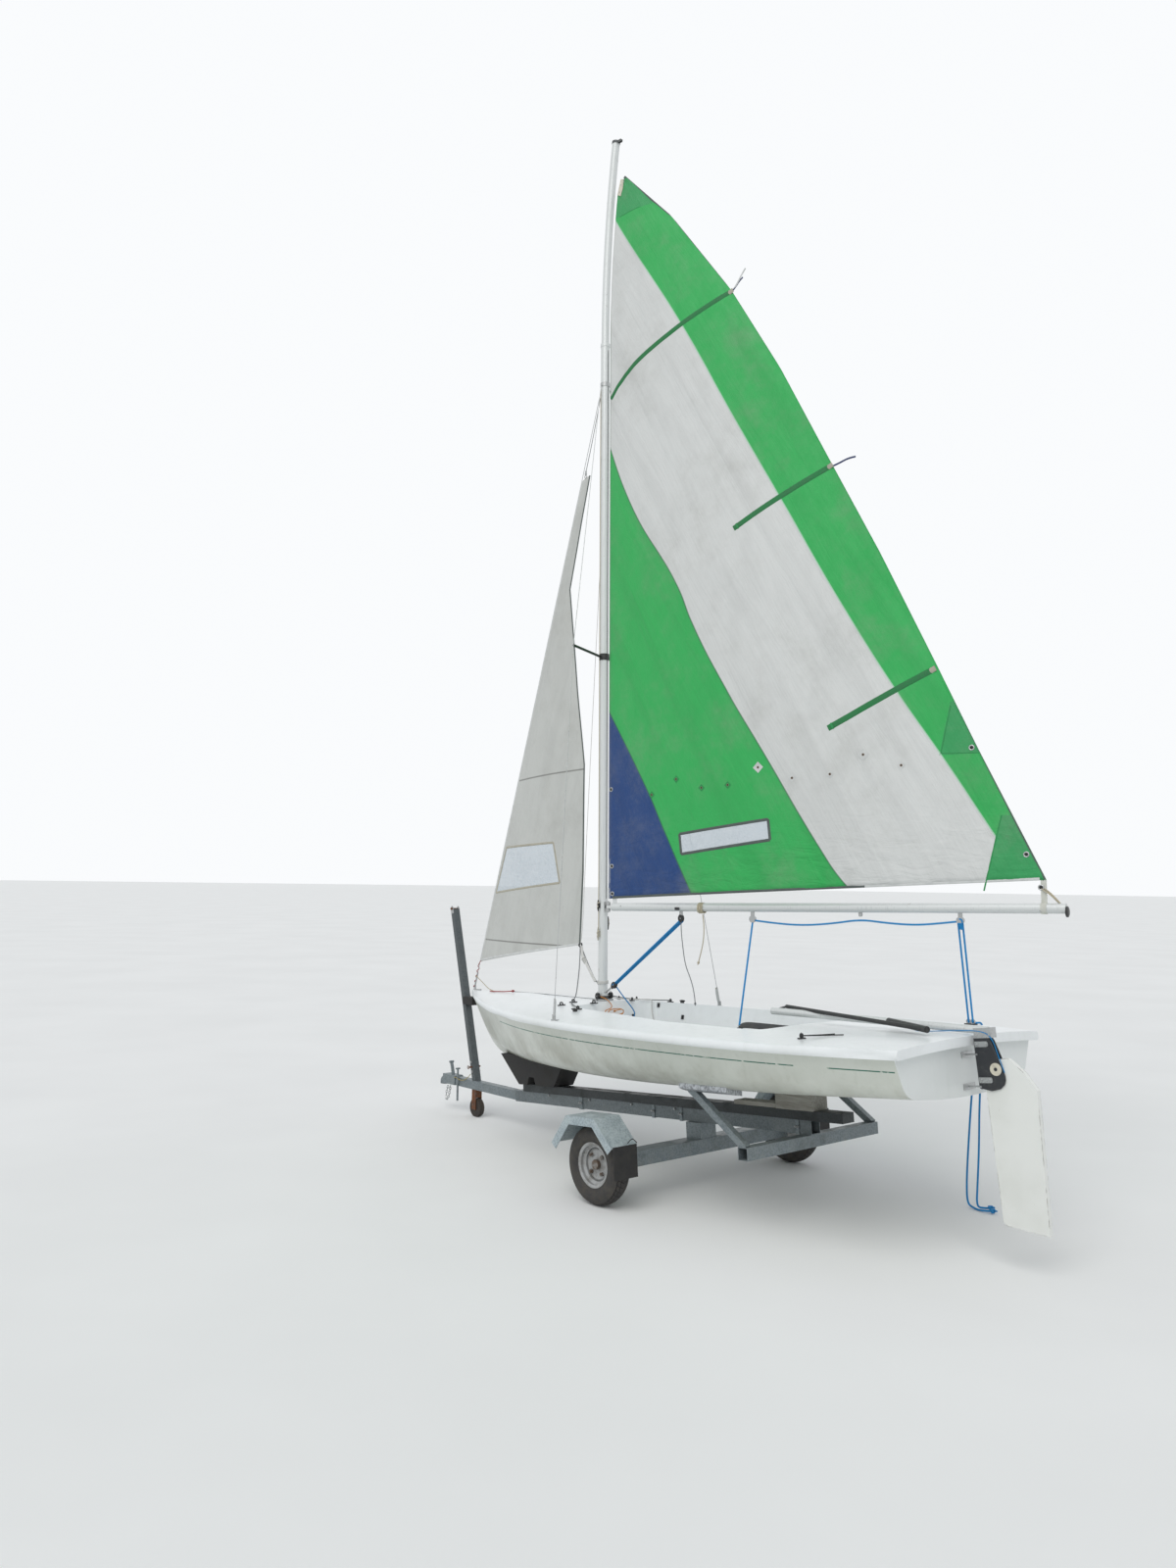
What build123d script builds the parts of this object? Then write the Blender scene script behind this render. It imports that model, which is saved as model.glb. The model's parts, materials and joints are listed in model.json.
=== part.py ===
from build123d import *
from math import atan2, cos, degrees, hypot, radians, sin, tan
import os

# Sailing dinghy, rigged, on its single-axle road trailer. Millimetres, +X to the bow, +Y to port,
# +Z up. The origin is on the ground under the middle of the overall length.

# Placing of the boat: its own frame starts at the transom, on the centreline at deck height
STERN_X = -1950.0
STERN_Z = 928.0
BOAT_PITCH = 4.0            # bow down, degrees

# Placing of the trailer: its own frame starts at the middle of the axle
AXLE_X = -290.0
TRAILER_PITCH = 4.8         # nose down, degrees

# Hull and deck
HULL_LENGTH = 3910.0
LIP_DEPTH = 42.0
LIP_OVERHANG = 34.0
HALF_BEAM = 756.0           # lip edge at the widest station
BEAM_STATION = 1000.0
STERN_HALF = 572.0          # lip edge at the transom
BOW_FULLNESS = 2.45         # exponent of the lip's plan curve forward of the widest station
SHEER_AFT = 20.0            # deck edge height at the transom
SHEER_RISE = 0.028          # straight rise per unit of length
SHEER_SPRING = 78.0         # extra rise at the stem, gathered in the bow
DECK_SECTIONS = 14
BOW_ROUND = 14.0            # deck section nearest the bow, aft of it
SEAM = 0.3                  # clearance at seats between separate bodies and soft parts
COCKPIT_AFT = 900.0
COCKPIT_FORE = 2405.0
COCKPIT_FLOOR = -170.0      # boat-frame height of the cockpit sole
LINER_WALL = 6.0
CASE_WIDTH = 62.0
CASE_AFT = 1450.0
CASE_FORE = 2180.0
CASE_TOP = -15.0
BOARD_THICK = 26.0
BOARD_BOLT = 12.0

# Spars and standing rigging
MAST_FOOT_X = 2500.0
MAST_RAKE = 3.2             # aft, against the boat frame
MAST_DIAMETER = 57.0
MAST_WALL = 2.5
MAST_LOWER = 4180.0         # foot to the joint
TOPMAST_DIAMETER = 50.0
TOPMAST_LENGTH = 1337.0
TOPMAST_BEND = 98.0         # aft, at the truck
SPREADER_HEIGHT = 2131.0
SPREADER_REACH = 352.0
SPREADER_SWEEP = 125.0
SPREADER_DIAMETER = 16.0
CAP_HEIGHT = 18.0           # masthead casting
CAP_REACH = 54.0            # its crane's reach aft of the topmast's middle
HOUNDS_HEIGHT = 3913.0
WIRE_DIAMETER = 4.0
SCREW_DIAMETER = 11.0       # rigging screws at the wires' feet
SCREW_LENGTH = 95.0
CHAINPLATE_X = 2151.0
CHAINPLATE_INSET = 17.0     # inboard of the lip's edge
FORESTAY_INSET = 42.0       # stemhead lug, aft of the bow

# Boom, sails and their rest angle
GOOSENECK_HEIGHT = 570.0
PIN_SETBACK = 48.0          # gooseneck pin, aft of the mast's centre line
PIN_DIAMETER = 10.0
PIN_PLAY = 0.06
BOOM_SWING = 13.0           # to starboard
BOOM_RISE = 0.4
BOOM_LENGTH = 2672.0
BOOM_DIAMETER = 50.0
SAIL_THICK = 3.0
SAIL_CAMBER = 0.065         # depth as a share of the chord
SAIL_FOOT_CAMBER = 0.03
SAIL_LUFF_GAP = 3.0

# Rudder
PINTLE_AFT = 17.0           # pintle line aft of the deck edge
PINTLE_DIAMETER = 8.0
RUDDER_RAKE = 3.6
STOCK_CHEEK = 6.0
STOCK_GAP = 27.0            # between the cheeks
BLADE_THICK = 24.0
TILLER_LENGTH = 1130.0
TILLER_DIAMETER = 36.0

# Trailer
BEAM_SIZE = 70.0
BEAM_WALL = 4.0
BEAM_TOP = 192.0            # trailer-frame height of the main beam's top
BEAM_FORE = 1660.0
TONGUE_SIZE = 58.0
TONGUE_AHEAD = 288.0        # tongue's end ahead of the bow post's foot
TONGUE_PITCH = 0.5          # nose down against the floor
BEAM_AFT = -800.0
RAIL_WIDTH = 90.0
RAIL_HEIGHT = 48.0
RAIL_FORE = 1560.0
RAIL_AFT = -1005.0
TYRE_RADIUS = 200.0
TYRE_WIDTH = 104.0
RIM_RADIUS = 112.0          # over the rim's flanges
BEAD_RADIUS = 101.5
RIM_HALF = 42.0             # half the width over the flanges
RIM_WALL = 4.0
DISC_FACE = 8.0             # disc's outer face beyond the wheel's middle
LUG_CIRCLE = 115.0          # diameter that the four wheel nuts stand on
TRACK_HALF = 747.0
AXLE_WIDTH = 120.0
AXLE_DEPTH = 74.0
STUB_RADIUS = 14.0
STUB_REACH = 20.0           # stub's end beyond the wheel's middle
STUB_PLAY = 0.06
SKIRT_DEPTH = 42.0          # mudguards' side skirts
JOCKEY_RADIUS = 62.0
JOCKEY_WIDTH = 36.0
JOCKEY_AHEAD = 8.0          # jockey wheel's upright, ahead of the bow post's foot
POST_AHEAD = 83.0           # bow post's centre ahead of the bow, at the bow's height
POST_LEAN = 0.2734          # run forward per unit of height
POST_FOOT_Z = 220.0
POST_HEIGHT = 1196.0
POST_DEPTH = 36.0
POST_WIDTH = 50.0
BALL_RADIUS = 25.0
BALL_REACH = 105.0          # socket's centre ahead of the tongue's end
BALL_DROP = -18.0
SOCKET_DEPTH = 20.0         # straight wall below the ball's middle
CUP_WALL = 13.0
PAD_THICK = 24.0
STOP_DROP = 80.0            # bow stop's middle below the bow's edge
STOP_REACH = 116.0          # its length aft of the post's middle
PROP_SETBACK = 100.0        # prop rod aft of the tongue's end

os.makedirs("parts", exist_ok=True)
BUILT = {}

def lip_edge(x):
    """Half-breadth of the lip, falling away each way from the widest station."""
    if x < BEAM_STATION:
        share = (BEAM_STATION - x) / BEAM_STATION
        return HALF_BEAM - (HALF_BEAM - STERN_HALF) * share ** 2
    share = (x - BEAM_STATION) / (HULL_LENGTH - BEAM_STATION)
    return HALF_BEAM * (1 - share ** BOW_FULLNESS)


def sheer(x):
    """Height of the deck edge."""
    return SHEER_AFT + SHEER_RISE * x + SHEER_SPRING * (x / HULL_LENGTH) ** 5


def crown(x):
    """Deck crown on the centreline, fullest at the mast."""
    hump = max(0.0, 1 - ((x - MAST_FOOT_X) / 1500) ** 2)
    return (20 + 34 * hump) * min(1.0, lip_edge(x) / 300)


BOAT = Location((STERN_X, 0, STERN_Z), (0, BOAT_PITCH, 0))
MAST_FOOT_Z = sheer(MAST_FOOT_X) + crown(MAST_FOOT_X)
MAST = BOAT * Location((MAST_FOOT_X, 0, MAST_FOOT_Z), (0, -MAST_RAKE, 0))
BOOM = MAST * Location((-PIN_SETBACK, 0, GOOSENECK_HEIGHT), (0, 0, 180 + BOOM_SWING))
RUDDER = BOAT * Location((-PINTLE_AFT, 0, 0), (0, RUDDER_RAKE, 0))
TRAILER = Location((AXLE_X, 0, TYRE_RADIUS), (0, TRAILER_PITCH, 0))
BEAM_END = (TRAILER * Location((BEAM_FORE, 0, BEAM_TOP - BEAM_SIZE / 2))).position
TONGUE = Location(BEAM_END, (0, TONGUE_PITCH, 0))
BOW = (BOAT * Location((HULL_LENGTH, 0, sheer(HULL_LENGTH)))).position
POST_FOOT_X = BOW.X + POST_AHEAD - POST_LEAN * (BOW.Z - POST_FOOT_Z)
TONGUE_REACH = POST_FOOT_X + TONGUE_AHEAD - BEAM_END.X
FORESTAY_X = HULL_LENGTH - FORESTAY_INSET


def keep(node, shape, frame=Location()):
    """Place a finished piece in the row frame and write it."""
    placed = frame * shape
    solids = placed.solids()
    body = solids[0] if len(solids) == 1 else Compound(children=list(solids))
    BUILT[node] = body
    export_step(body, f"parts/{node}.step")


def in_row(frame, point):
    """A point of a local frame, in the row frame."""
    return (frame * Location(point)).position


def to_local(frame, point):
    """A row-frame point, in a local frame."""
    return (frame.inverse() * Location(point)).position


def rod(start, end, radius):
    """A round bar between two points."""
    run = Vector(*end) - Vector(*start)
    return Solid.make_cylinder(radius, run.length, Plane(origin=start, z_dir=run))


def largest(shapes):
    """Each shape's biggest solid, together."""
    return Compound(children=[shape.solids().sort_by(SortBy.VOLUME)[-1] for shape in shapes])


def block(low, high):
    """A box from its low corner to its high corner."""
    size = [b - a for a, b in zip(low, high)]
    return Pos(*[(a + b) / 2 for a, b in zip(low, high)]) * Box(*size)


def bar(start, end, wide, deep, up=(0, 0, 1)):
    """A rectangular bar between two points, its depth along up."""
    run = Vector(*end) - Vector(*start)
    side = Vector(*up).cross(run)
    plane = Plane(origin=start, x_dir=side, z_dir=run)
    return extrude(plane * Rectangle(wide, deep), run.length)


def tube(start, end, wide, deep, wall, up=(0, 0, 1)):
    """A rectangular tube between two points."""
    run = Vector(*end) - Vector(*start)
    side = Vector(*up).cross(run)
    plane = Plane(origin=start, x_dir=side, z_dir=run)
    hollow = Rectangle(wide, deep) - Rectangle(wide - 2 * wall, deep - 2 * wall)
    return extrude(plane * hollow, run.length)


# Hull stations, boat frame: share of the length, keel height, chine half-breadth, chine height,
# bilge radius
STATIONS = [
    (LIP_OVERHANG / HULL_LENGTH, -223, 472, -190, 100),
    (0.1765, -266, 566, -200, 178),
    (0.3402, -293, 586, -201, 222),
    (0.4962, -300, 548, -204, 203),
    (0.6368, -291, 448, -194, 168),
    (0.7570, -275, 310, -174, 122),
    (0.8568, -247, 164, -133, 74),
    (0.9284, -165, 66, -58, 34),
    (0.9744, 44, 19, 86, 8),
    (0.9893, 120, 8, 140, 3),
]


def hull_at(x):
    """Keel, chine and bilge at a place on the smooth curves through the stations."""
    rows = [(share * HULL_LENGTH, *values) for share, *values in STATIONS]
    last = len(rows) - 1
    i = min(sum(row[0] <= x for row in rows[1:]), last - 1)
    ends = []
    for k in (i, i + 1):
        fore, aft = rows[min(k + 1, last)], rows[max(k - 1, 0)]
        ends.append([(b - a) / (fore[0] - aft[0]) for a, b in zip(aft[1:], fore[1:])])
    span = rows[i + 1][0] - rows[i][0]
    t = (x - rows[i][0]) / span
    weights = (2 * t ** 3 - 3 * t ** 2 + 1, 3 * t ** 2 - 2 * t ** 3, t ** 3 - 2 * t ** 2 + t, t ** 3 - t ** 2)
    near, far, rise, fall = weights
    columns = zip(rows[i][1:], rows[i + 1][1:], ends[0], ends[1])
    return [near * a + far * b + (rise * m + fall * n) * span for a, b, m, n in columns]


def hull_places():
    """The stations and the middles between them, bar the last three gaps at the stem."""
    places = [share * HULL_LENGTH for share, *values in STATIONS]
    return sorted(places + [(a + b) / 2 for a, b in zip(places[:-4], places[1:-3])])


def deck_places():
    """Places from the transom's edge to the bow, closing up smoothly."""
    reach = HULL_LENGTH - BOW_ROUND
    return [reach * sin(radians(90 * i / DECK_SECTIONS)) for i in range(DECK_SECTIONS + 1)]


def station_plane(x):
    return Plane(origin=(x, 0, 0), x_dir=(0, 1, 0), z_dir=(1, 0, 0))


def hull_section(x):
    """Closed section of the canoe body, up to half way through the deck."""
    keel, chine_y, chine_z, bilge = hull_at(x)
    edge = lip_edge(x)
    half = max(edge - LIP_OVERHANG, edge * 0.35)
    top = sheer(x) - LIP_DEPTH * 0.5
    sag = 0.016 * chine_y
    middle = (chine_y / 2, (keel + chine_z) / 2 - sag)
    bottom = ThreePointArc((0, keel), middle, (chine_y, chine_z))
    side = Line((chine_y, chine_z), (half, top))
    lid = Line((half, top), (-half, top))
    far_side = Line((-half, top), (-chine_y, chine_z))
    far_bottom = ThreePointArc((-chine_y, chine_z), (-middle[0], middle[1]), (0, keel))
    outline = make_face(Curve() + [bottom, side, lid, far_side, far_bottom])
    chines = [v for v in outline.vertices() if abs(v.Y - chine_z) < 0.5]
    return station_plane(x) * fillet(chines, bilge)


def deck_section(x):
    """Closed section of the deck moulding, with its rounded lip."""
    edge, rise = lip_edge(x), crown(x)
    low, high = sheer(x) - LIP_DEPTH, sheer(x)
    roll = min(14.0, edge / 4)
    nose = (edge, low + LIP_DEPTH * 0.4)
    shoulder = (edge - roll, high)
    foot = (edge - roll * 0.7, low)
    rim = ThreePointArc(foot, nose, shoulder)
    top = ThreePointArc(shoulder, (0, high + rise), (-shoulder[0], high))
    far_rim = ThreePointArc((-shoulder[0], high), (-nose[0], nose[1]), (-foot[0], low))
    base = ThreePointArc((-foot[0], low), (0, low + rise), foot)
    return station_plane(x) * make_face(Curve() + [rim, top, far_rim, base])


def cockpit_outline(height, grow):
    """Rounded opening outline at a height, let out by an amount."""
    aft_half, middle_half, fore_half = 400.0, 445.0, 310.0
    middle_x = 1500.0
    half = [
        (COCKPIT_AFT - grow, aft_half + grow),
        (middle_x, middle_half + grow),
        (COCKPIT_FORE + grow, fore_half + grow),
    ]
    points = half + [(x, -y) for x, y in reversed(half)]
    outline = make_face(Polyline(*points, close=True))
    corners = [v for v in outline.vertices() if abs(v.X - middle_x) > 1]
    return Pos(0, 0, height) * fillet(corners, 80 + grow)


def cockpit_void(bottom, top, grow=0.0):
    """The cockpit's space between two heights, wider at the top."""
    draft = 0.16
    low = cockpit_outline(bottom, grow + (bottom - 60) * draft)
    high = cockpit_outline(top, grow + (top - 60) * draft)
    return loft([low, high], ruled=True)


def build_hull():
    """Canoe body, deck moulding and cockpit liner."""
    body = loft([hull_section(x) for x in hull_places()])
    lid = loft([deck_section(x) for x in deck_places()])
    outer = cockpit_void(COCKPIT_FLOOR - LINER_WALL, 200, LINER_WALL)
    inner = cockpit_void(COCKPIT_FLOOR, 200)
    slot = block((CASE_AFT, -BOARD_THICK / 2 - 3, -400), (CASE_FORE, BOARD_THICK / 2 + 3, 0))
    keep("hull", largest([body - lid - outer - slot]), BOAT)
    keep("deck", lid - cockpit_void(-100, 200), BOAT)
    tub = (outer - inner - lid - slot).solids().sort_by(Axis.Z)[0]
    keep("cockpit_liner", tub, BOAT)


def build_case():
    """Centreboard case on the sole, with the stowed board in it."""
    low = (CASE_AFT - 30, -CASE_WIDTH / 2, COCKPIT_FLOOR)
    outer = block(low, (CASE_FORE + 25, CASE_WIDTH / 2, CASE_TOP))
    outer = fillet(outer.edges().filter_by(Axis.Z), 20)
    inner = block((CASE_AFT, -BOARD_THICK / 2 - 3, -400), (CASE_FORE, BOARD_THICK / 2 + 3, 100))
    x, z = CASE_FORE - 90, -100
    bolt = rod((x, -CASE_WIDTH / 2 - 5, z), (x, CASE_WIDTH / 2 + 5, z), BOARD_BOLT / 2)
    keep("centreboard_case", outer - inner + bolt, BOAT)
    board = block((CASE_AFT + 10, -BOARD_THICK / 2, -262), (CASE_FORE - 10, BOARD_THICK / 2, 25))
    keep("centreboard", fillet(board.edges().filter_by(Axis.Y), 40) - bolt, BOAT)


def topmast_radius():
    """Radius of the topmast's bend, tangent to the lower mast at the joint."""
    return (TOPMAST_LENGTH ** 2 + TOPMAST_BEND ** 2) / (2 * TOPMAST_BEND)


def mast_offset(height):
    """How far aft the mast's centre line lies at a height, mast frame."""
    if height <= MAST_LOWER:
        return 0.0
    return (height - MAST_LOWER) ** 2 / (2 * topmast_radius())


def build_mast():
    """Lower mast, topmast and truck, step and gooseneck bracket."""
    lower = Cylinder(MAST_DIAMETER / 2, MAST_LOWER - 12, align=(Align.CENTER, Align.CENTER, Align.MIN))
    keep("mast_lower", Pos(0, 0, 12) * lower, MAST)
    bend = topmast_radius()
    sweep_angle = degrees(atan2(TOPMAST_LENGTH, bend - TOPMAST_BEND))
    ring = Plane(origin=(0, 0, MAST_LOWER), z_dir=(0, 0, 1)) * Circle(TOPMAST_DIAMETER / 2)
    axis = Axis((-bend, 0, MAST_LOWER), (0, -1, 0))
    keep("mast_upper", revolve(ring, axis, sweep_angle), MAST)
    top = Location((-TOPMAST_BEND, 0, MAST_LOWER + TOPMAST_LENGTH), (0, -sweep_angle, 0))
    cap = Pos(0, 0, CAP_HEIGHT / 2) * Cylinder(TOPMAST_DIAMETER / 2 + 2, CAP_HEIGHT)
    crane = block((-CAP_REACH, -9, 0), (0, 9, CAP_HEIGHT))
    cap = fillet((cap + crane).edges().group_by(Axis.Z)[-1], 4)
    slot = block((-CAP_REACH - 1, -4, -1), (-TOPMAST_DIAMETER / 2 - 4, 4, CAP_HEIGHT + 1))
    sheave = rod((-CAP_REACH + 10, -9, 9), (-CAP_REACH + 10, 9, 9), 5)
    keep("masthead", MAST * top * (cap - slot + sheave))
    step = fillet(block((-55, -45, -25), (55, 45, 12)).edges().filter_by(Axis.Z), 12)
    keep("mast_step", MAST * step - BUILT["deck"])


def build_spreaders():
    """Swept spreaders with their root bracket."""
    pieces = []
    for side in (1, -1):
        root = (0, side * (MAST_DIAMETER / 2 - 2), SPREADER_HEIGHT)
        tip = (-SPREADER_SWEEP, side * SPREADER_REACH, SPREADER_HEIGHT + 6)
        pieces.append(rod(root, tip, SPREADER_DIAMETER / 2))
    band = Cylinder(MAST_DIAMETER / 2 + 4, 40) - Cylinder(MAST_DIAMETER / 2, 50)
    mast = Pos(0, 0, SPREADER_HEIGHT) * Cylinder(MAST_DIAMETER / 2, 90)
    whole = Pos(0, 0, SPREADER_HEIGHT) * band
    for piece in pieces:
        whole = whole + (piece - mast)
    keep("spreaders", whole, MAST)


def wire_points():
    """Row-frame ends of the shrouds and the forestay."""
    hounds = {s: in_row(MAST, (0, s * (MAST_DIAMETER / 2 + 5.5), HOUNDS_HEIGHT)) for s in (1, -1)}
    reach = SPREADER_REACH + 4
    tips = {s: in_row(MAST, (-SPREADER_SWEEP - 2, s * reach, SPREADER_HEIGHT + 6)) for s in (1, -1)}
    out, up = lip_edge(CHAINPLATE_X) - CHAINPLATE_INSET, sheer(CHAINPLATE_X) + 26
    plates = {s: in_row(BOAT, (CHAINPLATE_X, s * out, up)) for s in (1, -1)}
    bow = in_row(BOAT, (FORESTAY_X, 0, sheer(FORESTAY_X) + 30))
    front = in_row(MAST, (MAST_DIAMETER / 2 + 5.5, 0, HOUNDS_HEIGHT))
    return hounds, tips, plates, bow, front


def along(start, end, distance):
    """The point at a distance from start on the way to end."""
    run = Vector(*end) - Vector(*start)
    return Vector(*start) + run * (distance / run.length)


def build_rigging():
    """Chainplates, stemhead fitting, hounds band, shrouds and forestay."""
    hounds, tips, plates, bow, front = wire_points()
    out, edge = lip_edge(CHAINPLATE_X) - CHAINPLATE_INSET, sheer(CHAINPLATE_X)
    lugs, wires = [], []
    for side in (1, -1):
        low, high = sorted((side * (out - 2), side * (out + 2)))
        lug = block((CHAINPLATE_X - 13, low, edge - 20), (CHAINPLATE_X + 13, high, edge + 34))
        low, high = sorted((side * (out - 16), side * (out + 2)))
        lug = lug + block((CHAINPLATE_X - 24, low, edge - 20), (CHAINPLATE_X + 24, high, edge + 7))
        lugs.append(BOAT * lug - BUILT["deck"])
        upper = rod(hounds[side], tips[side], WIRE_DIAMETER / 2)
        lower = rod(tips[side], plates[side], WIRE_DIAMETER / 2)
        screw = rod(plates[side], along(plates[side], tips[side], SCREW_LENGTH), SCREW_DIAMETER / 2)
        knot = Pos(*tips[side]) * Sphere(WIRE_DIAMETER * 0.9)
        wires.append(upper + lower + knot + screw - lugs[-1])
    keep("chainplates", largest(lugs))
    keep("shrouds", Compound(children=wires))
    base, top = sheer(FORESTAY_X), sheer(FORESTAY_X) + 36
    lug = block((FORESTAY_X - 12, -2, base - 12), (FORESTAY_X + 12, 2, top))
    lug = lug + block((FORESTAY_X - 70, -6, base - 20), (FORESTAY_X + 14, 6, base + 8))
    fitting = (BOAT * lug - BUILT["deck"]).solids().sort_by(Axis.Z)[-1]
    keep("bow_fitting", fitting)
    screw = rod(bow, along(bow, front, SCREW_LENGTH), SCREW_DIAMETER / 2)
    keep("forestay", rod(front, bow, WIRE_DIAMETER / 2) + screw - fitting)
    tang = Cylinder(MAST_DIAMETER / 2 + 3, 26) - Cylinder(MAST_DIAMETER / 2, 40)
    keep("hounds_band", Pos(0, 0, HOUNDS_HEIGHT) * tang, MAST)


# Mainsail leech, boom frame: height above the gooseneck, distance aft of the pin
LEECH = [(154, 2586), (810, 2279), (1272, 2074), (1900, 1790), (2476, 1510), (3100, 1210),
         (3677, 891), (4300, 470), (4729, 96)]
SAIL_RISE = 104.0           # leech height over luff height on one section
SAIL_TACK_HEIGHT = 50.0     # foot of the luff above the gooseneck
LUFF_HEIGHTS = [SAIL_TACK_HEIGHT, 700, 1300, 1900, 2500, 3100, 3600, 4150, 4600]
STRAP_WIDTH = 28.0          # clew strap round the boom
# Under the boom: distance aft of the pin, drop below the tube, radius of the sheave or eye
BOOM_FITTINGS = [(525, 20, 9), (997, 40, 19), (1638, 14, 8), (2166, 36, 19)]


def build_boom():
    """Boom tube with its gooseneck eye, and the bracket on the mast."""
    start = 34.0
    rise = Rot(0, -BOOM_RISE, 0)
    spar = Rot(0, 90, 0) * Cylinder(BOOM_DIAMETER / 2, BOOM_LENGTH - start,
                                    align=(Align.CENTER, Align.CENTER, Align.MIN))
    tongue = block((0, -11, -8), (start + 2, 11, 8)) + Cylinder(13, 16)
    tongue = tongue - Cylinder(PIN_DIAMETER / 2 + PIN_PLAY, 40)
    spar = rise * Pos(start, 0, 0) * spar
    tack = block((start, -1.5, 0), (start + 30, 1.5, SAIL_TACK_HEIGHT - SEAM))
    keep("boom", spar + tongue + tack, BOOM)
    clew_z, clew_s = LEECH[0]
    lift = BOOM_DIAMETER / 2
    ring = Cylinder(lift + 2.5, STRAP_WIDTH) - Cylinder(lift, 2 * STRAP_WIDTH)
    ring = rise * Pos(clew_s - STRAP_WIDTH / 2, 0, 0) * Rot(0, 90, 0) * ring
    slope = (clew_z - SAIL_TACK_HEIGHT) / clew_s
    fore_s = clew_s - STRAP_WIDTH
    strap = [(fore_s, lift), (clew_s, lift), (clew_s, clew_z - SEAM)]
    strap.append((fore_s, clew_z - SEAM - STRAP_WIDTH * slope))
    keep("clew_strap", ring + side_plate(strap, 3, 1.5) - spar, BOOM)
    blocks = []
    for reach, drop, sheave in BOOM_FITTINGS:
        lug = block((reach - 11, -3, -lift - drop), (reach + 11, 3, 0))
        wheel = rod((reach, -9, -lift - drop), (reach, 9, -lift - drop), sheave)
        blocks.append(rise * (lug + wheel) - spar)
    keep("boom_blocks", largest(blocks), BOOM)
    back = MAST_DIAMETER / 2
    mouth = block((-90, -30, -9), (-back - 2, 30, 9))
    plate = block((-PIN_SETBACK, -14, -30), (-back + 6, 14, 30))
    ears = plate + Pos(-PIN_SETBACK, 0, 0) * Cylinder(14, 60) - mouth
    ears = ears - Cylinder(back, 100)
    pin = Pos(-PIN_SETBACK, 0, 0) * Cylinder(PIN_DIAMETER / 2, 70)
    keep("gooseneck", Pos(0, 0, GOOSENECK_HEIGHT) * (ears + pin), MAST)


def leech_at(height):
    """Distance aft of the leech at a height."""
    for (z0, s0), (z1, s1) in zip(LEECH, LEECH[1:]):
        if z0 <= height <= z1:
            return s0 + (s1 - s0) * (height - z0) / (z1 - z0)
    return LEECH[-1][1]


def luff_at(height):
    """Distance of the luff aft of the pin line, clear of the bent topmast."""
    return mast_offset(height + GOOSENECK_HEIGHT) + SAIL_LUFF_GAP


def crescent(start, end, depth, thick, normal):
    """Thin arc-shaped face between two points, bellied along normal."""
    chord = Vector(*end) - Vector(*start)
    plane = Plane(origin=start, x_dir=chord, z_dir=chord.cross(Vector(*normal)))
    length = chord.length
    inner = ThreePointArc((0, 0), (length / 2, depth), (length, 0))
    outer = ThreePointArc((0, thick), (length / 2, depth + thick), (length, thick))
    ends = [Line((0, 0), (0, thick)), Line((length, 0), (length, thick))]
    return plane * make_face(Curve() + [inner, outer] + ends)


def build_mainsail():
    """Mainsail, a thin cambered shell bellied to port."""
    sections = []
    for i, low in enumerate(LUFF_HEIGHTS):
        high = low + SAIL_RISE
        share = min(1.0, i / 3)
        camber = SAIL_FOOT_CAMBER + (SAIL_CAMBER - SAIL_FOOT_CAMBER) * share
        start, end = (luff_at(low), 0, low), (leech_at(high), 0, high)
        sections.append(crescent(start, end, camber * (end[0] - start[0]), SAIL_THICK, (0, -1, 0)))
    keep("mainsail", loft(sections, ruled=True), BOOM)


# Jib: luff point as a share of the forestay's height, chord, rise from luff to leech
JIB = [
    (0.0438, 1097, 170),
    (0.2320, 877, -113),
    (0.4049, 650, -108),
    (0.5630, 365, -251),
    (0.6778, 120, -13),
    (0.8530, 84, 20),
]
JIB_CAMBER = 0.05


def build_jib():
    """Jib, a thin shell with a narrow twisted head, its luff close behind the forestay."""
    hounds, tips, plates, bow, front = wire_points()
    sections = []
    slope = atan2(bow.X - front.X, front.Z - bow.Z)
    setback = (WIRE_DIAMETER / 2 + SEAM) / cos(slope)
    for share, chord, rise in JIB:
        luff = bow + (front - bow) * share
        start = (luff.X - setback, 0, luff.Z)
        end = (luff.X - chord, 0, luff.Z + rise)
        sections.append(crescent(start, end, JIB_CAMBER * hypot(chord, rise), SAIL_THICK, (0, 1, 0)))
    keep("jib", loft(sections, ruled=True))


# Rudder heights below the deck edge, rudder frame
GUDGEONS = (-40.0, -178.0)
STOCK_FOOT = -196.0
BLADE_PIVOT = (-92.0, -104.0)
PIVOT_RADIUS = 8.0
TILLER_HEIGHT = 60.0
BARREL_RADIUS = 9.0
STRAP_HEIGHTS = (4.0, -150.0)
STRAP_THICK = 3.0
CAP_RADIUS = 27.0           # plastic washers of the blade's pivot
EXTENSION_RADIUS = 10.0
GRIP_RADIUS = 15.0
# Tiller extension, row frame: hinge, start of the grip, end
EXTENSION = [(-858, -40, 995), (-1544, 47, 995), (-1837, 180, 995)]


def side_plate(points, thick, at):
    """A flat plate in the rudder's plane of symmetry, offset to one side."""
    plane = Plane(origin=(0, at, 0), x_dir=(1, 0, 0), z_dir=(0, -1, 0))
    return extrude(plane * make_face(Polyline(*points, close=True)), thick)


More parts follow.
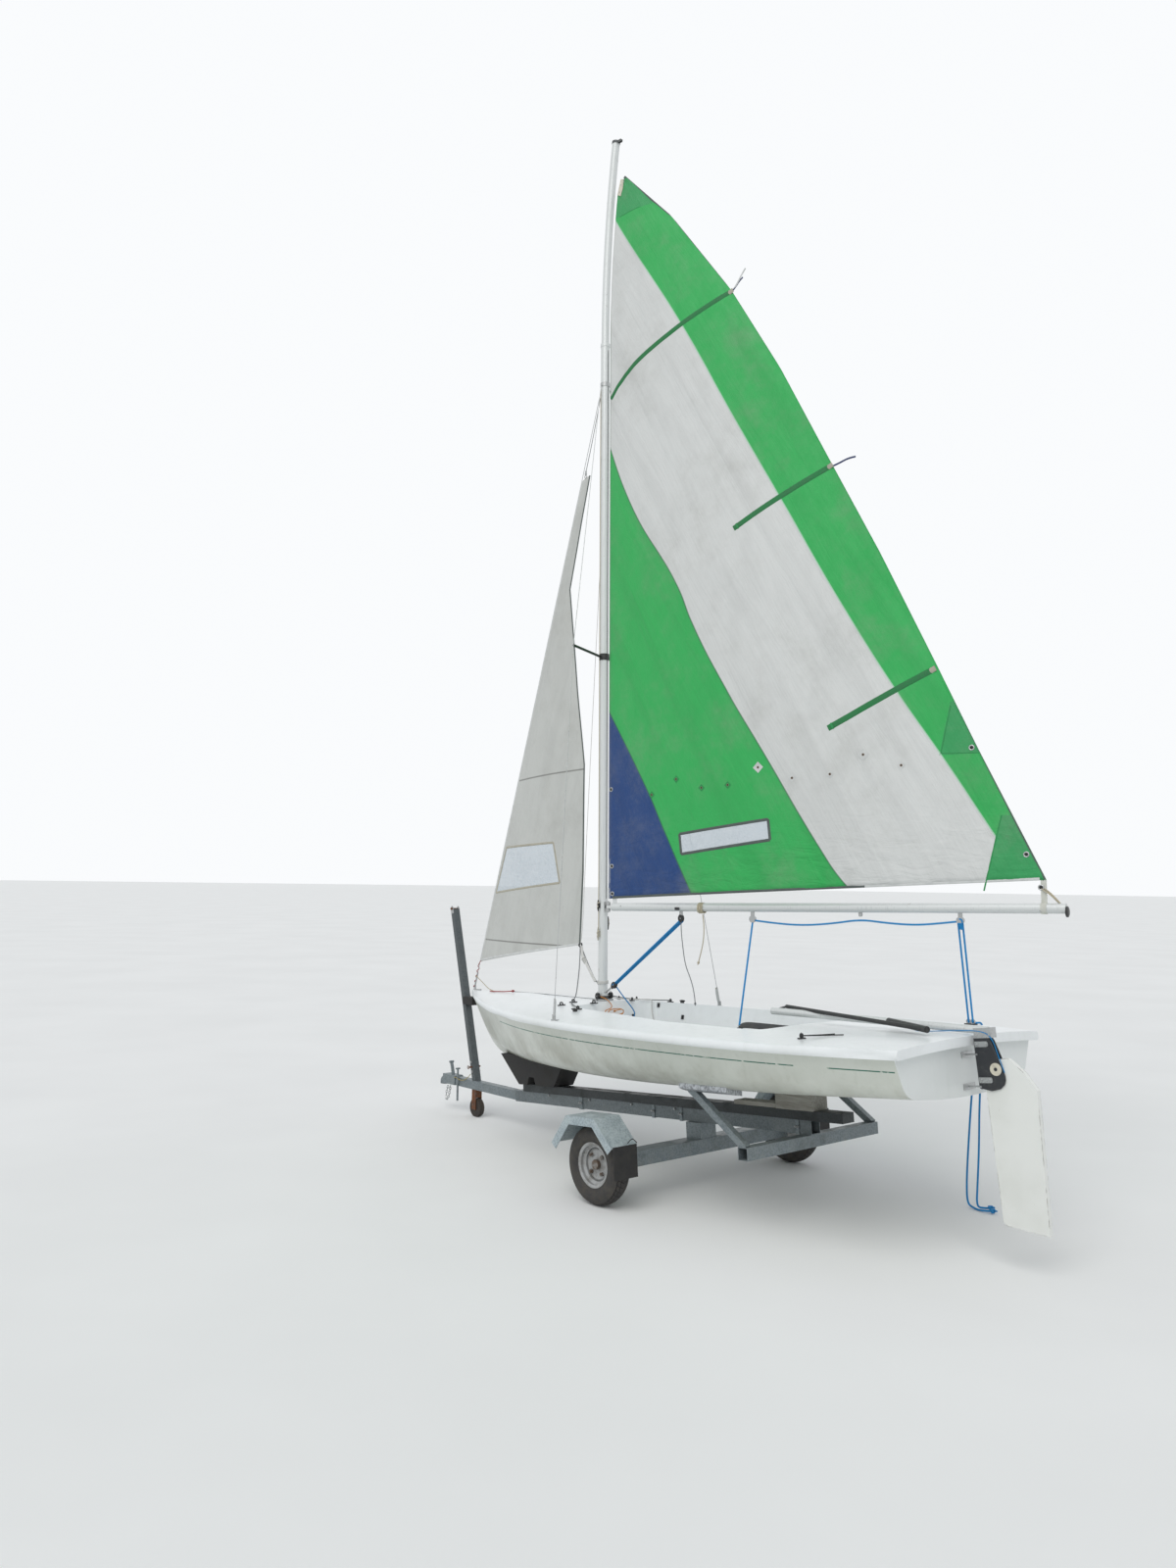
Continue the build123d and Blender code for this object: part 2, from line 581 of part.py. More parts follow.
def build_rudder():
    """Rudder stock, blade, tiller with its extension, and the transom fittings."""
    half = STOCK_GAP / 2
    side = half + STOCK_CHEEK
    cheek = [(-2, 30), (-2, STOCK_FOOT + 12), (-60, STOCK_FOOT), (-100, -188), (-122, -170), (-130, -152),
             (-130, -132), (-124, -112), (-82, 16), (-74, 30)]
    stock = side_plate(cheek, STOCK_CHEEK, side) + side_plate(cheek, STOCK_CHEEK, -half)
    stock = stock + block((-22, -half, STOCK_FOOT + 14), (-2, half, 30))
    barrel = Pos(0, 0, (STOCK_FOOT + 14 + 20) / 2) * Cylinder(BARREL_RADIUS, 20 - STOCK_FOOT - 14)
    arm_gap = [block((-12, -22, z - 4), (30, 22, z + 4)) for z in GUDGEONS]
    bore = rod((0, 0, -300), (0, 0, 100), PINTLE_DIAMETER / 2 + PIN_PLAY)
    x, z = BLADE_PIVOT
    pivot_hole = rod((x, -40, z), (x, 40, z), PIVOT_RADIUS + PIN_PLAY)
    stock = stock + barrel - arm_gap[0] - arm_gap[1] - bore
    pin = rod((x, -side - 4, z), (x, side + 4, z), PIVOT_RADIUS)
    blade = [(-56, -66), (-28, -200), (-27, -743), (-42, -756), (-233, -783), (-266, -194),
             (-215, -118), (-150, -58)]
    foil = side_plate(blade, BLADE_THICK, BLADE_THICK / 2)
    keep("rudder_blade", foil - pivot_hole, RUDDER)
    fore = in_row(BOAT, (1150, 0, 122))
    tip = to_local(RUDDER, fore)
    tiller = rod((-70, 0, TILLER_HEIGHT), tip, TILLER_DIAMETER / 2)
    keep("tiller", tiller, RUDDER)
    keep("rudder_stock", stock + pin, RUDDER)
    channel = block((-92, -22, 30), (-8, 22, TILLER_HEIGHT + 14)) - tiller
    keep("tiller_head", channel.solids().sort_by(SortBy.VOLUME)[-1], RUDDER)
    straps = []
    for z in STRAP_HEIGHTS:
        for y in (side, -side - STRAP_THICK):
            plate = block((-70, y, z - 12), (-6, y + STRAP_THICK, z + 12))
            aft = plate.edges().filter_by(Axis.Y).group_by(Axis.X)[0]
            straps.append(fillet(aft, 9))
    keep("rudder_straps", Compound(children=straps), RUDDER)
    x, z = BLADE_PIVOT
    caps = [rod((x, y, z), (x, y + STRAP_THICK, z), CAP_RADIUS) - pin for y in (side, -side - STRAP_THICK)]
    keep("pivot_caps", Compound(children=caps), RUDDER)
    hinge, grip, end = [to_local(RUDDER, point) for point in EXTENSION]
    link = rod(tip, hinge, 6) + Pos(*hinge) * Sphere(EXTENSION_RADIUS)
    extension = rod(hinge, end, EXTENSION_RADIUS) + rod(grip, end, GRIP_RADIUS) + link
    keep("tiller_extension", largest([extension - tiller]), RUDDER)
    post = rod((0, 0, STOCK_FOOT + 4), (0, 0, 28), PINTLE_DIAMETER / 2)
    transom = PINTLE_AFT + LIP_OVERHANG
    fitting = post
    for z in GUDGEONS:
        face = transom - tan(radians(RUDDER_RAKE)) * z
        fitting = fitting + block((0, -13, z - 3), (face - 3, 13, z + 3)) + Pos(0, 0, z) * Cylinder(11, 6)
        fitting = fitting + block((face - 5, -45, z - 13), (face + 4, 45, z + 13))
    keep("transom_gudgeons", RUDDER * fitting - BUILT["hull"])


# Bands round the main beam, trailer frame: x, width, rise past the beam's top
CLAMPS = [(984, 34, 0), (337, 22, 0), (114, 22, 0), (-715, 22, 0)]


def build_frame():
    """Main beam, tongue, keel rail, axle, rear crossbeam and side arms."""
    mid = BEAM_TOP - BEAM_SIZE / 2
    beam = tube((BEAM_AFT, 0, mid), (BEAM_FORE, 0, mid), BEAM_SIZE, BEAM_SIZE, BEAM_WALL)
    room = BEAM_SIZE / 2 - BEAM_WALL
    end_cap = block((BEAM_FORE - 6, -room, mid - room), (BEAM_FORE, room, mid + room))
    keep("main_beam", beam + end_cap, TRAILER)
    tongue = TONGUE * tube((-30, 0, 0), (TONGUE_REACH, 0, 0), TONGUE_SIZE, TONGUE_SIZE, 3.5)
    sleeve = block((0, -BEAM_SIZE, BEAM_TOP - 2 * BEAM_SIZE), (BEAM_FORE, BEAM_SIZE, BEAM_TOP + BEAM_SIZE))
    keep("tongue", tongue - TRAILER * sleeve)
    rail_mid = BEAM_TOP + RAIL_HEIGHT / 2
    rail = bar((RAIL_AFT, 0, rail_mid), (RAIL_FORE, 0, rail_mid), RAIL_WIDTH, RAIL_HEIGHT)
    keep("keel_rail", rail, TRAILER)
    clamps = []
    outer = BEAM_SIZE / 2
    for x, width, rise in CLAMPS:
        low = (x - width / 2, -outer - 4, BEAM_TOP - BEAM_SIZE - 4)
        band = block(low, (x + width / 2, outer + 4, BEAM_TOP + rise))
        core = block((x - width, -outer, BEAM_TOP - BEAM_SIZE), (x + width, outer, BEAM_TOP + 100))
        rail = block((x - width, -RAIL_WIDTH / 2, BEAM_TOP), (x + width, RAIL_WIDTH / 2, BEAM_TOP + 100))
        clamps.append((band - core - rail).solids().sort_by(SortBy.VOLUME)[-1])
    keep("beam_clamps", Compound(children=clamps), TRAILER)
    axle_half = TRACK_HALF - TYRE_WIDTH / 2 - 45
    axle = tube((0, -axle_half, 0), (0, axle_half, 0), AXLE_WIDTH, AXLE_DEPTH, 5)
    hanger = block((-55, -60, AXLE_DEPTH / 2), (55, 60, mid - BEAM_SIZE / 2))
    whole = axle + hanger
    for side in (1, -1):
        low, high = sorted((side * (axle_half - 8), side * axle_half))
        end = block((-AXLE_WIDTH / 2, low, -AXLE_DEPTH / 2), (AXLE_WIDTH / 2, high, AXLE_DEPTH / 2))
        whole = whole + end + rod((0, high, 0), (0, side * (TRACK_HALF + STUB_REACH), 0), STUB_RADIUS)
    keep("axle", whole, TRAILER)
    cross_x, cross_half = -770.0, 510.0
    under = BEAM_TOP - BEAM_SIZE
    cross = tube((cross_x, -cross_half, under - 30), (cross_x, cross_half, under - 30), 60, 60, 3)
    keep("rear_crossbeam", cross, TRAILER)
    hull = TRAILER.inverse() * (Pos(0, 0, -SEAM) * BUILT["hull"])
    under_pad = Pos(0, 0, -PAD_THICK) * hull
    arms, pads = [], []
    for side in (1, -1):
        y = side * (cross_half - 20)
        foot, head = (cross_x - 10, y, under - 6), (cross_x + 290, y, 338)
        crossbeam = block((cross_x - 30, -600, under - 60), (cross_x + 30, 600, under))
        reach = along(foot, head, (Vector(*head) - Vector(*foot)).length + 60)
        arm = bar(foot, tuple(reach), 34, 34, (1, 0, 0)) - crossbeam - under_pad
        arms.append(arm.solids().sort_by(Axis.Z)[0])
        strip = block((head[0] - 240, y - 55, 250), (head[0] + 80, y + 55, 480))
        pad = (strip & under_pad) - hull
        pads.append(pad.solids().sort_by(SortBy.VOLUME)[-1])
    keep("side_arms", Compound(children=arms), TRAILER)
    keep("bilge_pads", Compound(children=pads), TRAILER)
    rail_top = BEAM_TOP + RAIL_HEIGHT
    plank = block((-586, -45, rail_top), (-300, 45, rail_top + 22))
    rest = (block((-835, -60, rail_top), (-600, 60, 420)) - hull).solids().sort_by(Axis.Z)[0]
    keep("keel_rests", Compound(children=[plank, rest]), TRAILER)
    profile = [(1065, 430), (1750, 430), (1558, rail_top), (1470, rail_top), (1450, rail_top + 50),
               (1400, rail_top + 50), (1380, rail_top), (1198, rail_top)]
    cradle = side_plate(profile, 160, 80) - hull
    keep("bow_cradle", cradle.solids().sort_by(Axis.Z)[0], TRAILER)


def build_wheels():
    """Road wheels: tyre, and pressed rim with its hub and wheel nuts."""
    half = TYRE_WIDTH / 2
    bead, wall = RIM_HALF - RIM_WALL, 13.0
    belly = (RIM_RADIUS + TYRE_RADIUS) / 2 - 8
    bead_face = Line((BEAD_RADIUS, -bead), (RIM_RADIUS + 1, -bead))
    left = ThreePointArc((RIM_RADIUS + 1, -bead), (belly, -half), (TYRE_RADIUS - 12, -half + 12))
    tread = ThreePointArc((TYRE_RADIUS - 12, -half + 12), (TYRE_RADIUS, 0), (TYRE_RADIUS - 12, half - 12))
    right = ThreePointArc((TYRE_RADIUS - 12, half - 12), (belly, half), (RIM_RADIUS + 1, bead))
    far_face = Line((RIM_RADIUS + 1, bead), (BEAD_RADIUS, bead))
    lip = Line((BEAD_RADIUS, bead), (BEAD_RADIUS, bead - wall))
    roof = TYRE_RADIUS - 18
    hollow = Polyline((BEAD_RADIUS, bead - wall), (belly, half - 9), (roof, half - 20), (roof, -half + 20),
                      (belly, -half + 9), (BEAD_RADIUS, -bead + wall))
    far_lip = Line((BEAD_RADIUS, -bead + wall), (BEAD_RADIUS, -bead))
    outline = Curve() + [bead_face, left, tread, right, far_face, lip, hollow, far_lip]
    tyre = revolve(Plane.XZ * make_face(outline), Axis.Z)
    well, step = BEAD_RADIUS - 14, bead - 16
    barrel = [(RIM_RADIUS, RIM_HALF), (RIM_RADIUS, bead), (BEAD_RADIUS, bead), (BEAD_RADIUS, step),
              (well, step - 7), (well, -step + 7), (BEAD_RADIUS, -step), (BEAD_RADIUS, -bead),
              (RIM_RADIUS, -bead), (RIM_RADIUS, -RIM_HALF), (RIM_RADIUS - 5, -RIM_HALF),
              (BEAD_RADIUS - RIM_WALL, -bead), (BEAD_RADIUS - RIM_WALL, -step), (well - RIM_WALL, -step + 7),
              (well - RIM_WALL, step - 7), (BEAD_RADIUS - RIM_WALL, step), (BEAD_RADIUS - RIM_WALL, bead),
              (RIM_RADIUS - 5, RIM_HALF)]
    dish = [(well - RIM_WALL, step - 20), (well - 14, step - 12), (72, step - 12), (68, DISC_FACE),
            (20, DISC_FACE), (20, DISC_FACE - RIM_WALL), (66, DISC_FACE - RIM_WALL), (70, step - 16),
            (well - 16, step - 16), (well - RIM_WALL, step - 24)]
    for side, name in ((1, "port"), (-1, "starboard")):
        centre = Location((AXLE_X, side * TRACK_HALF, TYRE_RADIUS), (-90 * side, 0, 0))
        keep(f"tyre_{name}", tyre, centre)
        rim = revolve(Plane.XZ * make_face(Polyline(*barrel, close=True)), Axis.Z)
        rim = rim + revolve(Plane.XZ * make_face(Polyline(*dish, close=True)), Axis.Z)
        hub = Pos(0, 0, -10) * Cylinder(36, 2 * DISC_FACE + 20) + Pos(0, 0, DISC_FACE + 10) * Cylinder(25, 26)
        hub = fillet(hub.edges().filter_by(GeomType.CIRCLE).sort_by(Axis.Z)[-1], 6)
        rim = rim + hub
        for turn in range(4):
            spot = Rot(0, 0, 45 + 90 * turn) * Pos(LUG_CIRCLE / 2, 0, 0)
            nut = extrude(Plane.XY.offset(DISC_FACE) * RegularPolygon(11, 6), 13)
            rim = rim + spot * (nut + Pos(0, 0, DISC_FACE + 8) * Cylinder(6, 20))
        rim = rim - Pos(0, 0, -50) * Cylinder(STUB_RADIUS + STUB_PLAY, 2 * STUB_REACH + 103)
        keep(f"rim_{name}", rim, centre)


def build_fenders():
    """Folded three-plane mudguards with side skirts and rubber flaps."""
    fold = [(255, 95), (130, 240), (-90, 240), (-215, 105)]
    thick = 3.0
    face = make_face(offset(Polyline(*fold), thick / 2, side=Side.BOTH))
    band = make_face(offset(Polyline(*fold), SKIRT_DEPTH, kind=Kind.INTERSECTION, side=Side.LEFT))
    inner_edge, outer_edge = TRACK_HALF - 72, TRACK_HALF + 100
    guards, flaps = [], []
    for side in (1, -1):
        top = max(side * inner_edge, side * outer_edge)
        plane = Plane(origin=(0, top, 0), x_dir=(1, 0, 0), z_dir=(0, -1, 0))
        guard = extrude(plane * face, outer_edge - inner_edge)
        for y in (side * outer_edge, side * inner_edge):
            low = y if y == top else y + thick
            skirt = Plane(origin=(0, low, 0), x_dir=(1, 0, 0), z_dir=(0, -1, 0))
            guard = guard + extrude(skirt * band, thick)
        leg = block((-25, inner_edge - 6, AXLE_DEPTH / 2), (25, inner_edge, 241))
        foot = block((-25, inner_edge - 76, AXLE_DEPTH / 2), (25, inner_edge, AXLE_DEPTH / 2 + 6))
        bracket = leg + foot
        if side < 0:
            bracket = mirror(bracket, Plane.XZ)
        guards.append(guard + bracket)
        low, high = sorted((side * (TRACK_HALF - 64), side * (TRACK_HALF + 92)))
        flaps.append(block((-221, low, -46), (-217, high, 112)) - guards[-1])
    keep("fenders", Compound(children=guards), TRAILER)
    keep("mudflaps", largest(flaps), TRAILER)


def build_nose():
    """Coupling, bow post, cradle and jockey wheel."""
    half = TONGUE_SIZE / 2
    ball_x = TONGUE_REACH + BALL_REACH
    ball_z = BALL_DROP
    shell = BALL_RADIUS + CUP_WALL
    cup = Sphere(shell) + Pos(0, 0, -SOCKET_DEPTH / 2) * Cylinder(shell, SOCKET_DEPTH)
    cup = Pos(ball_x, 0, ball_z) * (cup - Pos(0, 0, -SOCKET_DEPTH - 50) * Box(200, 200, 100))
    neck = block((TONGUE_REACH - 60, -36, -half), (ball_x - 15, 36, half + 7))
    socket = Pos(ball_x, 0, ball_z) * (Sphere(BALL_RADIUS) + Pos(0, 0, -25) * Cylinder(BALL_RADIUS, 50))
    inside = block((TONGUE_REACH - 100, -half, -half), (TONGUE_REACH, half, half))
    keep("coupling", neck + cup - socket - inside, TONGUE)
    grip_x = TONGUE_REACH + 10
    lever = bar((grip_x, 0, half + 7), (grip_x + 26, 0, half + 92), 22, 9, (1, 0, 0))
    lever = lever + rod((grip_x + 26, -16, half + 92), (grip_x + 26, 16, half + 92), 8)
    keep("coupling_lever", (lever - neck).solids().sort_by(SortBy.VOLUME)[-1], TONGUE)
    foot = (POST_FOOT_X, 0, POST_FOOT_Z)
    head = (POST_FOOT_X + POST_LEAN * POST_HEIGHT, 0, POST_FOOT_Z + POST_HEIGHT)
    solid_tongue = TONGUE * block((0, -half, -half), (TONGUE_REACH, half, half))
    post = bar(foot, head, POST_WIDTH, POST_DEPTH, (1, 0, 0))
    keep("bow_post", post - solid_tongue)
    stop_x = POST_FOOT_X + POST_LEAN * (BOW.Z - STOP_DROP - POST_FOOT_Z)
    stop = block((stop_x - STOP_REACH, -32, BOW.Z - STOP_DROP - 26), (stop_x, 32, BOW.Z - STOP_DROP + 26))
    bow_shape = Pos(SEAM, 0, 0) * BUILT["hull"] + Pos(SEAM, 0, 0) * BUILT["deck"]
    stop = (stop - post - bow_shape).solids().filter_by(lambda piece: piece.center().X > BOW.X - 80)
    keep("bow_stop", stop.sort_by(SortBy.VOLUME)[-1])
    rod_foot = (TONGUE_REACH - PROP_SETBACK, half + 7, -130)
    prop = rod(rod_foot, (rod_foot[0], rod_foot[1], 92), 7)
    prop = prop + rod((rod_foot[0], half - 9, 92), (rod_foot[0], half + 23, 92), 6)
    prop = prop + block((rod_foot[0] - 14, half, -12), (rod_foot[0] + 14, half + 14, 12))
    keep("prop_rod", prop, TONGUE)
    hub_z = JOCKEY_RADIUS
    trail = 14.0
    jockey_x = POST_FOOT_X + JOCKEY_AHEAD
    print("jockey wheel", jockey_x - trail, hub_z)
    wheel = Location((jockey_x - trail, 0, hub_z), (-90, 0, 0))
    bolt = 6.0
    keep("jockey_wheel", Cylinder(JOCKEY_RADIUS, JOCKEY_WIDTH) - Cylinder(bolt + PIN_PLAY, 100), wheel)
    y = JOCKEY_WIDTH / 2 + 4
    top = 2 * JOCKEY_RADIUS + 6
    fork = block((jockey_x - trail - 16, -y - 4, top), (jockey_x + 16, y + 4, POST_FOOT_Z))
    for side in (1, -1):
        low, high = sorted((side * y, side * (y + 4)))
        fork = fork + block((jockey_x - trail - 16, low, hub_z - 14), (jockey_x + 16, high, top + 4))
    fork = fork - TONGUE * block((0, -half, -half), (TONGUE_REACH, half, 100))
    fork = fork + rod((jockey_x - trail, -y - 4, hub_z), (jockey_x - trail, y + 4, hub_z), bolt)
    keep("jockey_fork", fork)


build_hull()
build_case()
build_mast()
build_spreaders()
build_rigging()
build_boom()
build_mainsail()
build_jib()
build_rudder()
build_frame()
build_wheels()
build_fenders()
build_nose()

everything = Compound(children=list(BUILT.values()))
box = everything.bounding_box()
print("box", box.min, box.max)
print("boom pin", in_row(BOOM, (0, 0, 0)), "mast axis", in_row(MAST, (0, 0, 1)) - in_row(MAST, (0, 0, 0)))
print("pintle", in_row(RUDDER, (0, 0, 0)), "axis", in_row(RUDDER, (0, 0, 1)) - in_row(RUDDER, (0, 0, 0)))
print("blade pivot", in_row(RUDDER, (BLADE_PIVOT[0], 0, BLADE_PIVOT[1])))
ball = (TONGUE_REACH + BALL_REACH, 0, BALL_DROP - SOCKET_DEPTH / 2)
print("ball", in_row(TONGUE, ball), in_row(TONGUE, (0, 0, -1)) - in_row(TONGUE, (0, 0, 0)))
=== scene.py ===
import json
import math
from functools import partialmethod

import bmesh
import bpy
from mathutils import Matrix, Vector, noise

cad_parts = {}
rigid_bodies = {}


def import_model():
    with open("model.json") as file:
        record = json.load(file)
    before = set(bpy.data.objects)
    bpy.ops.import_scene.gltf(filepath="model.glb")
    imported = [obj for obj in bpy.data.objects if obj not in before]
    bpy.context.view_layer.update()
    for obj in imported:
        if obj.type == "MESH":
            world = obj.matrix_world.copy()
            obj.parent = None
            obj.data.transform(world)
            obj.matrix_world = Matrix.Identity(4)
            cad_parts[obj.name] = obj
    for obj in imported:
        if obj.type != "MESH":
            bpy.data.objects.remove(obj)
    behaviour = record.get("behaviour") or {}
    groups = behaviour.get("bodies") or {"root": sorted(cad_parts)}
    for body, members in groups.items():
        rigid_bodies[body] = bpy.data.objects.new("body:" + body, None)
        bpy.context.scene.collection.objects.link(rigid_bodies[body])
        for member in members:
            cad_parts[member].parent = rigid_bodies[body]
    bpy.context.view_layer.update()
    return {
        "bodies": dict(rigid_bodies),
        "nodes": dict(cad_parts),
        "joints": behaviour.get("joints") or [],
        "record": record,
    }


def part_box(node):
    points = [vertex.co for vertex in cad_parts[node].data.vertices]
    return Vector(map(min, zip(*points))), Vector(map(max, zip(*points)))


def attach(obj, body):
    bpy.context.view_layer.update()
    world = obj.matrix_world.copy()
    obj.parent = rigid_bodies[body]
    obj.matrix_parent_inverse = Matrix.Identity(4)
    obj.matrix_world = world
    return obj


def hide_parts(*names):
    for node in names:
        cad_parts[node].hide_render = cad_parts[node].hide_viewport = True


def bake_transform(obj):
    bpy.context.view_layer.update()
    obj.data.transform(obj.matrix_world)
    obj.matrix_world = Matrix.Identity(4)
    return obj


# A rigged sailing dinghy on its road trailer. Metres, +X to the bow, +Y to port, +Z up.
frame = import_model()
NODES = frame["nodes"]
JOINTS = {joint["name"]: joint for joint in frame["joints"]}

# The photograph's camera
CAMERA_PLACE = Vector((-4.7575, 4.6229, 1.6163))
CAMERA_YAW = -0.7006
CAMERA_PITCH = 0.0874
CAMERA_ROLL = 0.0143
CAMERA_LENS = 26.10

# Places of the boat's own frames, as in the solid model
BOAT_PITCH = math.radians(4.0)
MAST_RAKE = math.radians(3.2)
BOOM_SWING = math.radians(13.0)
RUDDER_RAKE = math.radians(3.6)
TRAILER_PITCH = math.radians(4.8)
BOAT_PLACE = (-1.950, 0, 0.928)
AXLE_PLACE = (-0.290, 0, 0.200)
PIN_SETBACK = 0.048
GOOSENECK_HEIGHT = 0.570
MAST_SIDE = 0.0282          # from the mast's centre line to its side wall
HULL_LENGTH = 3.910
HALF_BEAM = 0.756
WIDEST = 1.0                # the boat is widest here, from its stern
SHEER = (0.020, 0.028, 0.078)   # the deck edge's height at the stern, its slope, its rise at the bow


def turn(angle, axis):
    return Matrix.Rotation(angle, 4, axis)


def move(x, y, z):
    return Matrix.Translation((x, y, z))


def axes_at(place, x, y, z):
    """A frame at a place, from its three directions."""
    return Matrix.Translation(place) @ Matrix((x, y, z)).transposed().to_4x4()


BOAT = move(*BOAT_PLACE) @ turn(BOAT_PITCH, "Y")
PIN = Matrix.Translation(JOINTS["boom_swing"]["pos_m"])
MAST = PIN @ turn(BOAT_PITCH - MAST_RAKE, "Y") @ move(PIN_SETBACK, 0, -GOOSENECK_HEIGHT)
BOOM = PIN @ turn(BOAT_PITCH - MAST_RAKE, "Y") @ turn(math.pi + BOOM_SWING, "Z")
RUDDER = Matrix.Translation(JOINTS["rudder_turn"]["pos_m"]) @ turn(BOAT_PITCH + RUDDER_RAKE, "Y")
TRAILER = move(*AXLE_PLACE) @ turn(TRAILER_PITCH, "Y")


def sheer(x):
    """Height of the deck's edge in the boat's frame."""
    return SHEER[0] + SHEER[1] * x + SHEER[2] * (x / HULL_LENGTH) ** 5


def lip_edge(x):
    """Half-breadth of the deck's lip in the boat's frame."""
    if x < WIDEST:
        return HALF_BEAM - 0.184 * (WIDEST - x) ** 2
    return HALF_BEAM * (1 - ((x - WIDEST) / (HULL_LENGTH - WIDEST)) ** 2.45)


def crown(x):
    """Rise of the deck on the centreline over its edge."""
    hump = max(0.0, 1 - ((x - 2.5) / 1.5) ** 2)
    return (0.020 + 0.034 * hump) * min(1.0, lip_edge(x) / 0.3)


def on_deck(x, y, lift=0.0):
    """Row-frame point on the deck's top, for a place in the boat's frame."""
    share = y / lip_edge(x)
    return BOAT @ Vector((x, y, sheer(x) + crown(x) * (1 - share * share) + lift))


# Camera, lights and floor


def make_camera():
    data = bpy.data.cameras.new("camera")
    data.lens = CAMERA_LENS
    data.sensor_width = 36.0
    data.clip_end = 1200.0
    camera = bpy.data.objects.new("camera", data)
    bpy.context.scene.collection.objects.link(camera)
    level = math.cos(CAMERA_PITCH)
    ahead = Vector((math.cos(CAMERA_YAW) * level, math.sin(CAMERA_YAW) * level, math.sin(CAMERA_PITCH)))
    right = Vector((math.sin(CAMERA_YAW), -math.cos(CAMERA_YAW), 0.0))
    up = right.cross(ahead)
    side = right * math.cos(CAMERA_ROLL) + up * math.sin(CAMERA_ROLL)
    top = up * math.cos(CAMERA_ROLL) - right * math.sin(CAMERA_ROLL)
    camera.matrix_world = axes_at(CAMERA_PLACE, side, top, -ahead)
    bpy.context.scene.camera = camera


SKY = ((0.93, 0.96, 1.0, 1), 0.62)          # colour and strength as it lights the boat
SKY_SEEN = ((0.955, 0.97, 0.985, 1), 1.0)   # as the camera, reflections and the windows show it


def make_light():
    """A plain sky and one soft sun."""
    bpy.context.scene.view_settings.view_transform = "Standard"
    world = bpy.data.worlds.new("sky")
    bpy.context.scene.world = world
    world.use_nodes = True
    tree = world.node_tree
    tree.nodes.clear()
    rays = tree.nodes.new("ShaderNodeLightPath")
    share = rays.outputs["Is Camera Ray"]
    for kind in ("Is Glossy Ray", "Is Transmission Ray"):
        node = tree.nodes.new("ShaderNodeMath")
        node.operation = "MAXIMUM"
        tree.links.new(share, node.inputs[0])
        tree.links.new(rays.outputs[kind], node.inputs[1])
        share = node.outputs[0]
    mix = tree.nodes.new("ShaderNodeMixShader")
    tree.links.new(share, mix.inputs["Fac"])
    for number, (colour, strength) in enumerate((SKY, SKY_SEEN), 1):
        node = tree.nodes.new("ShaderNodeBackground")
        node.inputs["Color"].default_value = colour
        node.inputs["Strength"].default_value = strength
        tree.links.new(node.outputs[0], mix.inputs[number])
    output = tree.nodes.new("ShaderNodeOutputWorld")
    tree.links.new(mix.outputs[0], output.inputs["Surface"])
    sun = bpy.data.lights.new("soft_sun", "SUN")
    sun.energy = 1.15
    sun.angle = math.radians(50)
    sun.color = (1.0, 0.985, 0.96)
    lamp = bpy.data.objects.new("soft_sun", sun)
    lamp.rotation_euler = (math.radians(-36), math.radians(-22), 0)
    bpy.context.scene.collection.objects.link(lamp)


FLOOR_HALF = 400.0


def make_floor(material):
    mesh = bpy.data.meshes.new("floor")
    corners = [(x * FLOOR_HALF, y * FLOOR_HALF, 0) for x, y in ((-1, -1), (1, -1), (1, 1), (-1, 1))]
    mesh.from_pydata(corners, [], [(0, 1, 2, 3)])
    mesh.materials.append(material)
    floor = bpy.data.objects.new("floor", mesh)
    bpy.context.scene.collection.objects.link(floor)


# Materials. Colours are given as they look on a screen, 0 to 255


def linear(colour, tone=1.0):
    """A screen colour for a shader, made darker or lighter by a factor."""
    values = [value * tone / 255.0 for value in colour]
    return (*[v / 12.92 if v <= 0.04045 else ((v + 0.055) / 1.055) ** 2.4 for v in values], 1.0)


